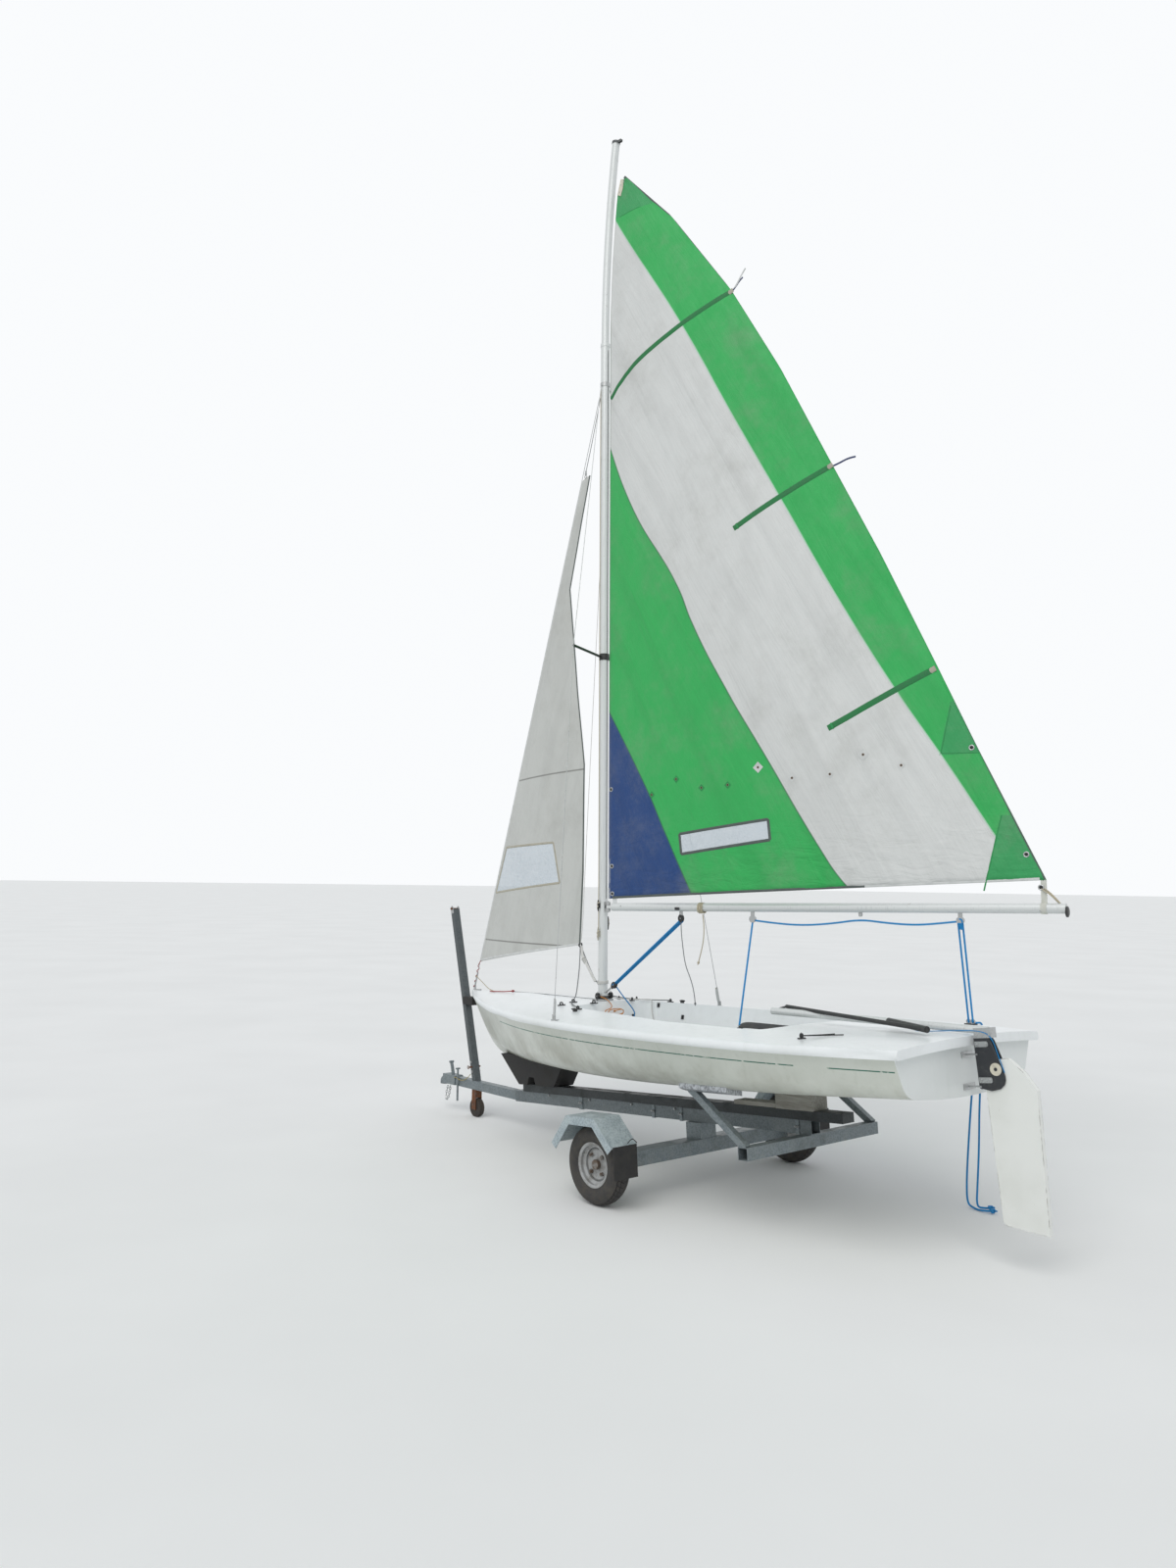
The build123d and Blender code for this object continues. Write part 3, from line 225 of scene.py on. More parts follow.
class Paint:
    """A material, with short calls that add its nodes and give back their outputs."""

    def __init__(self, name, metal=0.0):
        self.material = bpy.data.materials.new(name)
        self.material.use_nodes = True
        self.tree = self.material.node_tree
        self.tree.nodes.clear()
        self.shader = self.tree.nodes.new("ShaderNodeBsdfPrincipled")
        self.make("ShaderNodeOutputMaterial", {"Surface": self.shader.outputs[0]})
        self.shader.inputs["Metallic"].default_value = metal
        self.place = self.add("ShaderNodeTexCoord", {}, "Object")

    def feed(self, socket, value):
        """Links an output to a socket, or sets its own value; three numbers are a screen colour."""
        if isinstance(value, bpy.types.NodeSocket):
            self.tree.links.new(value, socket)
        else:
            is_colour = isinstance(value, tuple) and len(value) == 3
            socket.default_value = linear(value) if is_colour else value

    def make(self, kind, inputs, **settings):
        """A node; an input that is None takes the object's own coordinates."""
        node = self.tree.nodes.new(kind)
        for key, value in settings.items():
            setattr(node, key, value)
        for key, value in inputs.items():
            self.feed(node.inputs[key], self.place if value is None else value)
        return node

    def add(self, kind, inputs, out=0, **settings):
        return self.make(kind, inputs, **settings).outputs[out]

    def set(self, name, value):
        self.feed(self.shader.inputs[name], value)

    def math(self, operation, first, second=0.0):
        return self.add("ShaderNodeMath", {0: first, 1: second}, operation=operation)

    times = partialmethod(math, "MULTIPLY")
    plus = partialmethod(math, "ADD")
    minus = partialmethod(math, "SUBTRACT")
    above = partialmethod(math, "GREATER_THAN")
    below = partialmethod(math, "LESS_THAN")
    size = partialmethod(math, "ABSOLUTE")

    def span(self, value, low, high, start=0.0, end=1.0):
        """Maps low..high of a value to start..end, clamped and eased."""
        inputs = {"Value": value, "From Min": low, "From Max": high, "To Min": start, "To Max": end}
        return self.add("ShaderNodeMapRange", inputs, "Result", interpolation_type="SMOOTHSTEP")

    def mix(self, share, first, second):
        return self.add("ShaderNodeMix", {"Factor": share, 6: first, 7: second}, 2, data_type="RGBA")

    def stain(self, colour, share, tone, amount):
        return self.mix(self.times(share, amount), colour, tone)

    def parts(self, vector=None):
        """The x, y and z of a vector, by default the object's own coordinates."""
        return self.make("ShaderNodeSeparateXYZ", {0: vector}).outputs[:3]

    def join(self, x, z):
        return self.add("ShaderNodeCombineXYZ", {"X": x, "Z": z})

    def stretch(self, scale):
        node = self.make("ShaderNodeMapping", {"Vector": None})
        node.inputs["Scale"].default_value = scale
        return node.outputs[0]

    def noise(self, scale, detail=4.0, rough=0.55, vector=None, distort=0.0):
        inputs = {"Scale": scale, "Detail": detail, "Roughness": rough, "Distortion": distort}
        return self.add("ShaderNodeTexNoise", {**inputs, "Vector": vector}, "Fac")

    def patches(self, limits, *settings):
        return self.span(self.noise(*settings), *limits)

    def waves(self, scale, direction):
        inputs = {"Scale": scale, "Vector": None}
        return self.add("ShaderNodeTexWave", inputs, "Fac", bands_direction=direction)

    def bump(self, height, distance, strength):
        """Adds a bump on top of those already there."""
        inputs = {"Strength": strength, "Distance": distance, "Height": height}
        before = self.shader.inputs["Normal"]
        if before.is_linked:
            inputs["Normal"] = before.links[0].from_socket
        self.feed(before, self.add("ShaderNodeBump", inputs))

    def grain(self, scale, detail, distance, strength):
        self.bump(self.noise(scale, detail), distance, strength)

    def cover(self, colour, rough):
        self.set("Base Color", colour)
        self.set("Roughness", rough)

    def over(self, share, tone):
        """Lays one more colour over what the shader has."""
        self.set("Base Color", self.mix(share, self.shader.inputs["Base Color"].links[0].from_socket, tone))

    def edges(self, radius=0.004):
        """High on edges that stick out, where paint and zinc wear."""
        rounded = self.add("ShaderNodeBevel", {"Radius": radius}, samples=4)
        normal = self.add("ShaderNodeNewGeometry", {}, "Normal")
        turned = self.add("ShaderNodeVectorMath", {0: rounded, 1: normal}, "Value", operation="DOT_PRODUCT")
        return self.span(turned, 0.98, 0.85)

    def from_axle(self):
        """Along x and z from the wheels' axis, the distance from it, and outward from a wheel's middle."""
        x, y, z = self.parts()
        dx, dz = self.minus(x, WHEEL_MIDDLE[0]), self.minus(z, WHEEL_MIDDLE[2])
        away = self.math("SQRT", self.plus(self.times(dx, dx), self.times(dz, dz)))
        return dx, dz, away, self.minus(self.size(y), WHEEL_MIDDLE[1])


def make_worn(name, base, layers, rough, grain, metal=0.0):
    """A surface under layers, each of limits, noise, tone and share; the first sets the roughness too."""
    paint = Paint(name, metal)
    wear = [paint.patches(limits, *settings) for limits, settings, _, _ in layers]
    for share, (_, _, tone, amount) in zip(wear, layers):
        base = paint.stain(base, share, tone, amount)
    paint.cover(base, paint.span(wear[0], 0.0, 1.0, *rough))
    paint.grain(*grain)
    return paint


def make_plastic(name, base, rough=0.48):
    dust = ((0.48, 0.80), (38, 7, 0.7), (92, 92, 88), 0.45)
    return make_worn(name, base, [dust], (rough - 0.08, rough + 0.20), (300, 3, 0.0002, 0.6)).material


def make_rubber(name, base, dust, share):
    layers = [((0.35, 0.75), (16, 8, 0.75), dust, share)]
    return make_worn(name, base, layers, (0.66, 0.92), (240, 4, 0.0004, 0.7)).material


def make_gelcoat(name, base, dirt, low_colour, grime=0.5):
    """Weathered gelcoat: faint mottling, fine scratches, and a darker tone towards the bottom."""
    paint = Paint(name)
    fine = paint.patches((0.45, 0.85), 26, 8, 0.7)
    colour = paint.stain(base, paint.patches((0.35, 0.75), 1.6, 6, 0.6), dirt, 0.35)
    colour = paint.stain(colour, fine, dirt, 0.25)
    streaks = paint.patches((0.52, 0.80, 0.0, grime), 7, 6, 0.65, paint.stretch((3.0, 3.0, 0.35)))
    colour = paint.mix(streaks, colour, dirt)
    # Darker towards the bottom, in patches.
    low = paint.times(paint.span(paint.parts()[2], 0.86, 0.60), paint.patches((0.3, 0.7), 4, 6, 0.6))
    paint.cover(paint.stain(colour, low, low_colour, 0.6), paint.span(fine, 0.0, 1.0, 0.28, 0.48))
    paint.grain(9, 3, 0.0012, 0.5)
    paint.grain(420, 2, 0.0002, 0.6)
    return paint


WHEEL_MIDDLE = (AXLE_PLACE[0], 0.747, AXLE_PLACE[2])
TRANSOM = 0.037             # its face ends here, in the boat's frame
STRIPE_DROP = 0.097         # below the deck's edge
STRIPE_WIDTH = 0.0055
STRIPE_SPAN = (0.05, 3.10)
STRIPE_GAP = (0.343, 0.503)


def make_hull_material():
    """Hull gelcoat with its thin stripe, parallel to the deck's edge and broken once."""
    paint = make_gelcoat("hull_gelcoat", (214, 218, 210), (176, 182, 168), (128, 126, 108))
    x, y, z = paint.parts()
    away, lift = paint.minus(x, BOAT_PLACE[0]), paint.minus(z, BOAT_PLACE[2])
    cosine, sine = math.cos(BOAT_PITCH), math.sin(BOAT_PITCH)
    along = paint.minus(paint.times(away, cosine), paint.times(lift, sine))
    high = paint.plus(paint.times(away, sine), paint.times(lift, cosine))
    bow_rise = paint.math("POWER", paint.math("DIVIDE", along, HULL_LENGTH), 5.0)
    edge = paint.plus(paint.plus(paint.times(along, SHEER[1]), SHEER[0]), paint.times(bow_rise, SHEER[2]))
    off = paint.size(paint.minus(paint.minus(edge, high), STRIPE_DROP))
    shown = paint.span(off, STRIPE_WIDTH / 2 + 0.0006, STRIPE_WIDTH / 2 - 0.0006)
    middle, reach = (STRIPE_GAP[0] + STRIPE_GAP[1]) / 2, (STRIPE_GAP[1] - STRIPE_GAP[0]) / 2
    limits = [
        paint.above(paint.size(paint.minus(along, middle)), reach),
        paint.above(along, STRIPE_SPAN[0]),
        paint.below(along, STRIPE_SPAN[1]),
        paint.above(paint.size(y), 0.2),
        paint.patches((0.30, 0.45), 40, 4),
    ]
    for limit in limits:
        shown = paint.times(shown, limit)
    paint.over(paint.times(paint.below(along, TRANSOM), 0.65), (232, 236, 238))
    paint.over(shown, (34, 104, 84))
    return paint.material


def make_galvanised(name, tone, wear):
    """Hot-dip galvanised steel: spangle, white bloom, grime and a little rust at the edges."""
    paint = Paint(name, 0.35)
    spangle = paint.add("ShaderNodeTexVoronoi", {"Scale": 95, "Vector": None}, "Distance")
    bloom = paint.patches((0.40, 0.72), 14, 6, 0.65)
    dark, pale, white, grime = [linear(colour, tone) for colour in (
        (116, 127, 132), (140, 150, 154), (164, 172, 172), (84, 90, 86))]
    colour = paint.stain(paint.mix(paint.span(spangle, 0.15, 0.75), dark, pale), bloom, white, 0.5)
    colour = paint.stain(colour, paint.patches((0.50, 0.78), 5, 7, 0.7), grime, wear)
    rust = paint.times(paint.math("MAXIMUM", paint.edges(), 0.12), paint.patches((0.58, 0.72), 32, 8, 0.75))
    paint.cover(paint.mix(rust, colour, (112, 74, 48)), paint.span(bloom, 0.0, 1.0, 0.42, 0.70))
    paint.bump(spangle, 0.0004, 0.5)
    paint.grain(60, 5, 0.0008, 0.5)
    return paint.material


def make_painted_spar():
    """White-coated aluminium spar with scuffs and fine lengthwise scratches."""
    paint = Paint("spar", 0.25)
    scratch = paint.noise(60, 5, 0.6, paint.stretch((2.0, 2.0, 0.08)))
    worn = paint.span(scratch, 0.55, 0.75)
    colour = paint.stain((214, 217, 216), worn, (172, 176, 176), 0.5)
    colour = paint.stain(colour, paint.patches((0.62, 0.74), 18, 7, 0.7), (140, 132, 120), 0.6)
    paint.cover(colour, paint.span(worn, 0.0, 1.0, 0.34, 0.52))
    paint.bump(scratch, 0.0002, 0.4)
    return paint.material


def make_steel(name, base, rough):
    paint = Paint(name, 0.85)
    brush = paint.noise(180, 3, 0.6, paint.stretch((1.0, 1.0, 0.2)))
    colour = paint.stain(base, paint.patches((0.58, 0.74), 45, 6, 0.7), (122, 96, 72), 0.6)
    paint.cover(colour, paint.span(brush, 0.3, 0.7, rough - 0.08, rough + 0.14))
    paint.bump(brush, 0.0001, 0.5)
    return paint.material


def make_wood(name, dark, pale):
    """Timber with its grain along x."""
    paint = Paint(name)
    rings = paint.noise(9, 8, 0.7, paint.stretch((0.7, 10.0, 10.0)), 0.6)
    colour = paint.mix(paint.span(rings, 0.30, 0.72), dark, pale)
    colour = paint.stain(colour, paint.patches((0.45, 0.75), 6, 5), (120, 116, 106), 0.4)
    paint.cover(colour, paint.span(rings, 0.2, 0.8, 0.5, 0.8))
    paint.bump(rings, 0.0006, 0.7)
    return paint.material


def make_foil_material():
    """White painted rudder foil with chips and green-brown specks."""
    layers = [((0.4, 0.75), (3.5, 6), (204, 206, 198), 0.35),
              ((0.66, 0.72), (70, 6, 0.8), (126, 118, 92), 0.8)]
    paint = make_worn("white_foil", (230, 232, 228), layers, (0.34, 0.52), (18, 4, 0.0008, 0.5))
    paint.over(paint.times(paint.edges(0.006), paint.patches((0.45, 0.6), 24, 5)), (110, 104, 92))
    return paint.material


def make_rim_material():
    """Silver wheel paint with dirt, rust spots and browned nuts."""
    layers = [((0.42, 0.72), (22, 8, 0.75), (104, 98, 88), 0.65),
              ((0.66, 0.74), (48, 7, 0.8), (118, 72, 42), 1.0)]
    paint = make_worn("rim_paint", (168, 170, 170), layers, (0.38, 0.7), (90, 5, 0.0004, 0.6), 0.3)
    _, _, away, out = paint.from_axle()
    nuts = paint.times(paint.above(out, 0.0095), paint.below(away, 0.072))
    paint.over(paint.times(nuts, paint.patches((0.35, 0.6, 0.45, 0.95), 60, 6)), (92, 76, 62))
    return paint.material


def make_floor_material():
    paint = Paint("floor")
    paint.cover(paint.mix(paint.patches((0.2, 0.8), 0.6, 3), (236, 237, 236), (241, 242, 241)), 0.9)
    return paint.material


TREAD_PITCH = 44            # blocks round the tyre


def make_tyre():
    """Road tyre: ribs with zigzag grooves and sipes, ringed walls, dust and mud."""
    paint = Paint("road_tyre")
    dx, dz, radius, out = paint.from_axle()
    side = paint.size(out)
    turns = paint.times(paint.math("ARCTAN2", dz, dx), TREAD_PITCH / (2 * math.pi))
    zigzag = paint.times(paint.math("PINGPONG", turns, 0.5), 0.008)
    lane = paint.math("FRACT", paint.math("DIVIDE", paint.plus(side, zigzag), 0.0185))
    groove = paint.span(paint.size(paint.minus(lane, 0.5)), 0.36, 0.44)
    sipe = paint.math("FRACT", paint.plus(turns, paint.times(side, 16.0)))
    sipe = paint.span(paint.size(paint.minus(sipe, 0.5)), 0.40, 0.46)
    cut = paint.times(paint.math("MAXIMUM", groove, sipe), paint.span(radius, 0.186, 0.190))
    wall_ring = paint.math("PINGPONG", paint.times(radius, 110.0), 0.5)
    rings = paint.times(paint.span(wall_ring, 0.38, 0.48), paint.span(radius, 0.186, 0.180))
    dust = paint.patches((0.35, 0.72), 20, 8, 0.75)
    colour = paint.stain((50, 49, 49), dust, (98, 93, 84), 0.55)
    # Painted shade: the grooves and sipes are drawn near black.
    paint.cover(paint.stain(colour, cut, (18, 17, 17), 0.9), paint.span(dust, 0.0, 1.0, 0.68, 0.95))
    paint.bump(paint.minus(1.0, cut), 0.004, 1.0)
    paint.bump(rings, 0.0012, 0.8)
    paint.grain(240, 4, 0.0003, 0.6)
    return paint.material


def make_pad_material():
    """Bilge pads: black rubber to starboard, wrapped in silver tape to port."""
    paint = Paint("pads")
    port = paint.above(paint.parts()[1], 0.0)
    crease = paint.noise(34, 6, 0.65, paint.stretch((1.0, 3.0, 1.0)), 1.5)
    # Painted shade and highlight: the silver tape is drawn lighter and darker along its creases.
    silver = paint.mix(paint.span(crease, 0.42, 0.62), (196, 200, 204), (138, 142, 146))
    rubber = paint.stain((30, 30, 31), paint.patches((0.35, 0.75), 16, 8, 0.75), (84, 82, 78), 0.4)
    paint.cover(paint.mix(port, rubber, silver), paint.span(crease, 0.3, 0.7, 0.36, 0.70))
    paint.set("Metallic", paint.times(port, 0.6))
    paint.bump(crease, 0.004, 0.8)
    return paint.material


def make_rope_material(name, base, fleck, share, pitch=0.009):
    """Braided rope: crossing strands from the length along it and the way round."""
    paint = Paint(name)
    along, around, _ = paint.parts(paint.add("ShaderNodeTexCoord", {}, "UV"))
    turns, round_it = paint.math("DIVIDE", along, pitch), paint.times(around, 3.0)
    ways = [paint.math("FRACT", paint.math(kind, turns, round_it)) for kind in ("ADD", "SUBTRACT")]
    up, down = [paint.span(paint.math("PINGPONG", way, 0.5), 0.05, 0.35) for way in ways]
    strands = paint.times(up, down)
    colour = paint.stain(base, paint.above(ways[0], 0.72), fleck, share)
    # Painted shade: the grooves between the strands are drawn at three quarters of the rope's colour.
    dark = (*[value * 0.75 for value in linear(base)[:3]], 1.0)
    colour = paint.mix(strands, dark, colour)
    colour = paint.stain(colour, paint.patches((0.35, 0.70), 60, 5), (120, 118, 108), 0.12)
    paint.cover(colour, paint.span(strands, 0.0, 1.0, 0.9, 0.65))
    paint.bump(strands, 0.0012, 0.9)
    return paint.material


def make_trim(name, base, thread):
    """Sewn tape, webbing or a patch: fine weave, faded places and pale stitches."""
    paint = Paint(name)
    faded = paint.patches((0.35, 0.75), 22, 6)
    weave = paint.waves(420, "DIAGONAL")
    colour = paint.stain(paint.stain(base, faded, thread, 0.35), weave, thread, 0.18)
    paint.cover(colour, paint.span(faded, 0.0, 1.0, 0.6, 0.85))
    paint.bump(weave, 0.0003, 0.6)
    paint.grain(70, 5, 0.001, 0.5)
    return paint.material


# Sailcloth patterns, boom frame: distance aft of the pin and height, where two panels meet
BLUE_EDGE = [(0.0, 1.215), (0.336, 0.664), (0.458, 0.420), (0.648, 0.048)]
GREEN_EDGE = [(0.0, 2.920), (0.212, 2.454), (0.580, 1.871), (0.662, 1.676), (0.906, 1.228),
              (1.133, 0.856), (1.444, 0.334), (1.554, 0.172), (1.681, 0.045)]
WHITE_EDGE = [(0.0, 4.500), (0.037, 4.433), (0.581, 3.527), (0.955, 2.822), (1.263, 2.252),
              (1.595, 1.626), (1.879, 1.136), (2.112, 0.769), (2.366, 0.351), (2.560, 0.040)]
CLEW_EDGE = ((2.385, 0.471), (2.296, 0.097))
REEF_EDGE = ((2.147, 1.061), (2.093, 0.790))
REEF_BAND = (0.787, 1.061)
HEAD_PATCH = 4.44
CURVE_SPAN = (3.0, 5.0)     # what 1.0 stands for on a curve node: distance, height
SEAM_WIDTH = 0.011
FOOT_BAND = (0.10, 0.75)    # creases along the foot fade out between these heights
JIB_SEAMS = [(2.38, -0.05), (1.22, 0.0)]


def cloth_curve(paint, points, height):
    """Distance aft of a panel's edge at each height."""
    node = paint.tree.nodes.new("ShaderNodeFloatCurve")
    curve = node.mapping.curves[0]
    ordered = sorted((z / CURVE_SPAN[1], s / CURVE_SPAN[0]) for s, z in points)
    while len(curve.points) < len(ordered):
        curve.points.new(0.5, 0.5)
    for point, place in zip(curve.points, ordered):
        point.location = place
        point.handle_type = "AUTO"
    node.mapping.extend = "HORIZONTAL"
    node.mapping.update()
    paint.feed(node.inputs["Value"], paint.math("DIVIDE", height, CURVE_SPAN[1]))
    return paint.times(node.outputs[0], CURVE_SPAN[0])


def cloth_line(paint, first, second, aft, height):
    """How far a point lies aft of the straight line through two points."""
    (s0, z0), (s1, z1) = first, second
    at = paint.plus(paint.times(paint.minus(height, z0), (s1 - s0) / (z1 - z0)), s0)
    return paint.minus(aft, at)


def make_weave(paint, colour, dirt, grain, lean):
    """Cloth finish common to both sails: weave, folds leaning with the leech, creases, painted shade along
    the folds and creases, and a little dirt.
    """
    x, _, z = paint.parts()
    fold_place = paint.join(paint.plus(x, paint.times(z, lean)), paint.times(z, 0.10))
    long_folds = paint.noise(7.0, 5, 0.6, fold_place, 0.4)
    foot_place = paint.join(paint.times(x, 0.35), paint.plus(z, paint.times(x, 0.04)))
    crease = paint.noise(5.5, 7, 0.62, paint.stretch(grain), 0.5)
    folds = paint.noise(17, 6, 0.6, paint.stretch(grain))
    colour = paint.stain(colour, paint.patches((0.45, 0.80), 2.6, 8, 0.7), dirt, 0.30)
    darker = paint.add("ShaderNodeHueSaturation", {"Value": 0.86, "Color": colour})
    # Painted shade: the cloth is darkened along the creases and the long folds.
    colour = paint.stain(colour, paint.span(crease, 0.42, 0.70), darker, 0.35)
    colour = paint.stain(colour, paint.span(long_folds, 0.45, 0.68), darker, 0.55)
    paint.cover(colour, paint.span(folds, 0.3, 0.7, 0.50, 0.66))
    paint.shader.inputs["Sheen Weight"].default_value = 0.15
    paint.bump(long_folds, 0.030, 0.45)
    if lean > 0.3:
        foot = paint.span(z, FOOT_BAND[1], FOOT_BAND[0])
        paint.bump(paint.times(paint.noise(15.0, 4, 0.55, foot_place, 0.8), foot), 0.022, 0.6)
    paint.bump(crease, 0.010, 0.35)
    paint.bump(folds, 0.004, 0.35)
    paint.bump(paint.plus(paint.waves(260, "X"), paint.waves(260, "Z")), 0.0002, 0.5)


def make_main_cloth():
    """Mainsail cloth: blue tack, green, white and green panels with their seams."""
    paint = Paint("main_cloth")
    aft, _, height = paint.parts()
    blue, green, white, patch = (8, 60, 120), (40, 172, 84), (214, 216, 214), (46, 156, 88)
    seam, pale_seam = (32, 110, 62), (178, 214, 190)
    edges = [cloth_curve(paint, points, height) for points in (BLUE_EDGE, GREEN_EDGE, WHITE_EDGE)]
    past = [paint.minus(aft, edge) for edge in edges]
    colour = blue
    for gap, tone in zip(past, (green, white, green)):
        colour = paint.mix(paint.above(gap, 0.0), colour, tone)
    lines = [cloth_line(paint, *edge, aft, height) for edge in (CLEW_EDGE, REEF_EDGE)]
    behind, reefed = [paint.above(line, 0.0) for line in lines]
    clew = paint.times(behind, paint.below(height, CLEW_EDGE[0][1]))
    reef = paint.times(reefed, paint.above(height, REEF_BAND[0]))
    reef = paint.times(reef, paint.below(height, REEF_BAND[1]))
    for share in (clew, reef, paint.above(height, HEAD_PATCH)):
        colour = paint.mix(share, colour, patch)
    past[2] = paint.plus(past[2], clew)
    for gap, tone in zip(past, (seam, seam, pale_seam)):
        near = paint.span(paint.size(gap), SEAM_WIDTH / 2, SEAM_WIDTH / 2 - 0.0015)
        colour = paint.stain(colour, near, tone, 0.75)
    make_weave(paint, colour, (150, 150, 140), (1.0, 1.0, 0.55), 0.544)
    for gap in past:
        paint.bump(paint.span(paint.size(gap), SEAM_WIDTH, SEAM_WIDTH - 0.003), 0.0012, 0.8)
    return paint.material


def make_jib_cloth():
    """Jib cloth, greyish white, with two cross seams."""
    paint = Paint("jib_cloth")
    along, _, height = paint.parts()
    colour = (196, 198, 194)
    for base, slope in JIB_SEAMS:
        level = paint.minus(height, paint.plus(paint.times(along, slope), base))
        colour = paint.stain(colour, paint.span(paint.size(level), 0.006, 0.004), (120, 120, 116), 0.8)
    make_weave(paint, colour, (140, 138, 128), (1.0, 1.0, 0.5), 0.28)
    return paint.material


def make_window_film():
    """Clear sail window, scuffed and slightly hazy."""
    paint = Paint("window_film")
    haze = paint.patches((0.35, 0.75), 5, 6, 0.6)
    paint.cover(paint.mix(haze, (188, 200, 208), (216, 223, 228)), paint.span(haze, 0.0, 1.0, 0.10, 0.45))
    paint.set("Alpha", paint.span(haze, 0.0, 1.0, 0.50, 0.78))
    paint.grain(20, 4, 0.002, 0.4)
    return paint.material


# Sails, as curved sheets in the space of their solids
LEECH = [(2.586, 0.154), (2.279, 0.810), (2.074, 1.272), (1.790, 1.900), (1.510, 2.476), (1.210, 3.100),
         (0.891, 3.677), (0.470, 4.300), (0.096, 4.729)]
LUFF_FOOT, LUFF_HEAD = 0.050, 4.600
LUFF_GAP = 0.003
SAIL_RISE = 0.104           # leech height over luff height on one row of cloth
SAIL_CAMBER = (0.030, 0.065)
CAMBER_FULL = 1.900         # luff height from which the camber is whole
MAST_JOINT = 4.180
TOPMAST_LENGTH, TOPMAST_BEND = 1.337, 0.098
CLOTH_THICK = 0.0012
# Creases fan out from clew, tack and head: place, reach, seed
MAIN_CORNERS = [(2.586, 0.154, 0.55, 7.7), (0.02, 0.05, 0.45, 9.2), (0.09, 4.7, 0.6, 2.4)]


def between(points, value):
    """Reads a table of (result, key) pairs at a key."""
    ordered = sorted(points, key=lambda pair: pair[1])
    if value <= ordered[0][1]:
        return ordered[0][0]
    for (s0, z0), (s1, z1) in zip(ordered, ordered[1:]):
        if value <= z1:
            return s0 + (s1 - s0) * (value - z0) / (z1 - z0)
    return ordered[-1][0]


def mast_offset(height):
    """How far aft the mast's centre line lies at a height over its foot."""
    radius = (TOPMAST_LENGTH ** 2 + TOPMAST_BEND ** 2) / (2 * TOPMAST_BEND)
    return max(0.0, height - MAST_JOINT) ** 2 / (2 * radius)


def luff_at(height):
    return mast_offset(height + GOOSENECK_HEIGHT) + LUFF_GAP


def fold_noise(x, z, scale, seed):
    return noise.noise(Vector((x * scale, z * scale, seed)))


def main_wrinkle(aft, height, across):
    """Small sideways creases of the mainsail, none along its edges."""
    ease = min(1.0, across * 12) * min(1.0, (1 - across) * 14)
    foot = math.exp(-max(0.0, height - 0.12) / 0.16)
    value = 0.0045 * fold_noise(aft * 0.35, height, 13.0, 3.1) * foot
    for corner_aft, corner_height, reach, seed in MAIN_CORNERS:
        dx, dz = aft - corner_aft, height - corner_height
        angle, away = math.atan2(dz, dx), math.hypot(dx, dz)
        value += 0.006 * noise.noise(Vector((angle * 6.0, seed, away * 0.6))) * math.exp(-away / reach)
    value += 0.007 * fold_noise(aft, height * 0.16, 2.3, 5.5)
    value += 0.0022 * fold_noise(aft, height * 0.5, 9.0, 1.5)
    return value * ease


def main_point(across, up):
    """Point of the mainsail in the boom's frame, for shares of its width and height."""
    low = LUFF_FOOT + (LUFF_HEAD - LUFF_FOOT) * up
    high = low + SAIL_RISE
    start, end = luff_at(low), between(LEECH, high)
    chord = end - start
    full = min(1.0, (low - LUFF_FOOT) / (CAMBER_FULL - LUFF_FOOT))
    camber = SAIL_CAMBER[0] + (SAIL_CAMBER[1] - SAIL_CAMBER[0]) * full
    aft = start + chord * across
    height = low + SAIL_RISE * across
    belly = camber * chord * 4 * across * (1 - across)
    return Vector((aft, -belly - 0.0015 - main_wrinkle(aft, height, across), height))


def make_sheet_mesh(point, columns, rows):
    """Grid mesh of a function of two shares."""
    mesh = bmesh.new()
    grid = []
    for j in range(rows + 1):
        grid.append([mesh.verts.new(point(i / columns, j / rows)) for i in range(columns + 1)])
    for lower, upper in zip(grid, grid[1:]):
        for i in range(columns):
            mesh.faces.new((lower[i], lower[i + 1], upper[i + 1], upper[i]))
    return mesh


def sides_of(corners):
    return zip(corners, corners[1:] + corners[:1])


def cut_along(mesh, corners):
    """Adds edges to a sheet along the four sides of a window."""
    for (x0, z0), (x1, z1) in sides_of(corners):
        normal = Vector((z1 - z0, 0, x0 - x1))
        geometry = mesh.verts[:] + mesh.edges[:] + mesh.faces[:]
        bmesh.ops.bisect_plane(mesh, geom=geometry, plane_co=(x0, 0, z0), plane_no=normal, dist=1e-5)


def inside(corners, x, z):
    """True within a four-sided window, corners in turning order."""
    signs = [(x1 - x0) * (z - z0) - (z1 - z0) * (x - x0) for (x0, z0), (x1, z1) in sides_of(corners)]
    return all(s > 0 for s in signs) or all(s < 0 for s in signs)


def link(name, mesh, materials, matrix=None):
    """A new smooth object from a bmesh."""
    data = bpy.data.meshes.new(name)
    mesh.to_mesh(data)
    mesh.free()
    for material in materials:
        data.materials.append(material)
    data.polygons.foreach_set("use_smooth", [True] * len(data.polygons))
    piece = bpy.data.objects.new(name, data)
    bpy.context.scene.collection.objects.link(piece)
    if matrix is not None:
        piece.matrix_world = matrix
    return piece


MAIN_WINDOW = [(0.552, 0.429), (1.148, 0.492), (1.157, 0.378), (0.564, 0.311)]
JIB_WINDOW = [(1.571, 1.854), (1.022, 1.878), (0.955, 1.618), (1.686, 1.544)]


def make_sail(name, mesh, window, materials, frame, body):
    """A sail of cloth with its window cut in; gives the piece and the area of one side."""
    cut_along(mesh, window)
    for face in mesh.faces:
        middle = face.calc_center_median()
        face.material_index = int(inside(window, middle.x, middle.z))
    sail = link(name, mesh, materials, frame)
    area = sum(face.area for face in sail.data.polygons)
    thickness = sail.modifiers.new("thickness", "SOLIDIFY")
    thickness.thickness = CLOTH_THICK
    thickness.offset = 0.0
    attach(sail, body)
    return sail, area


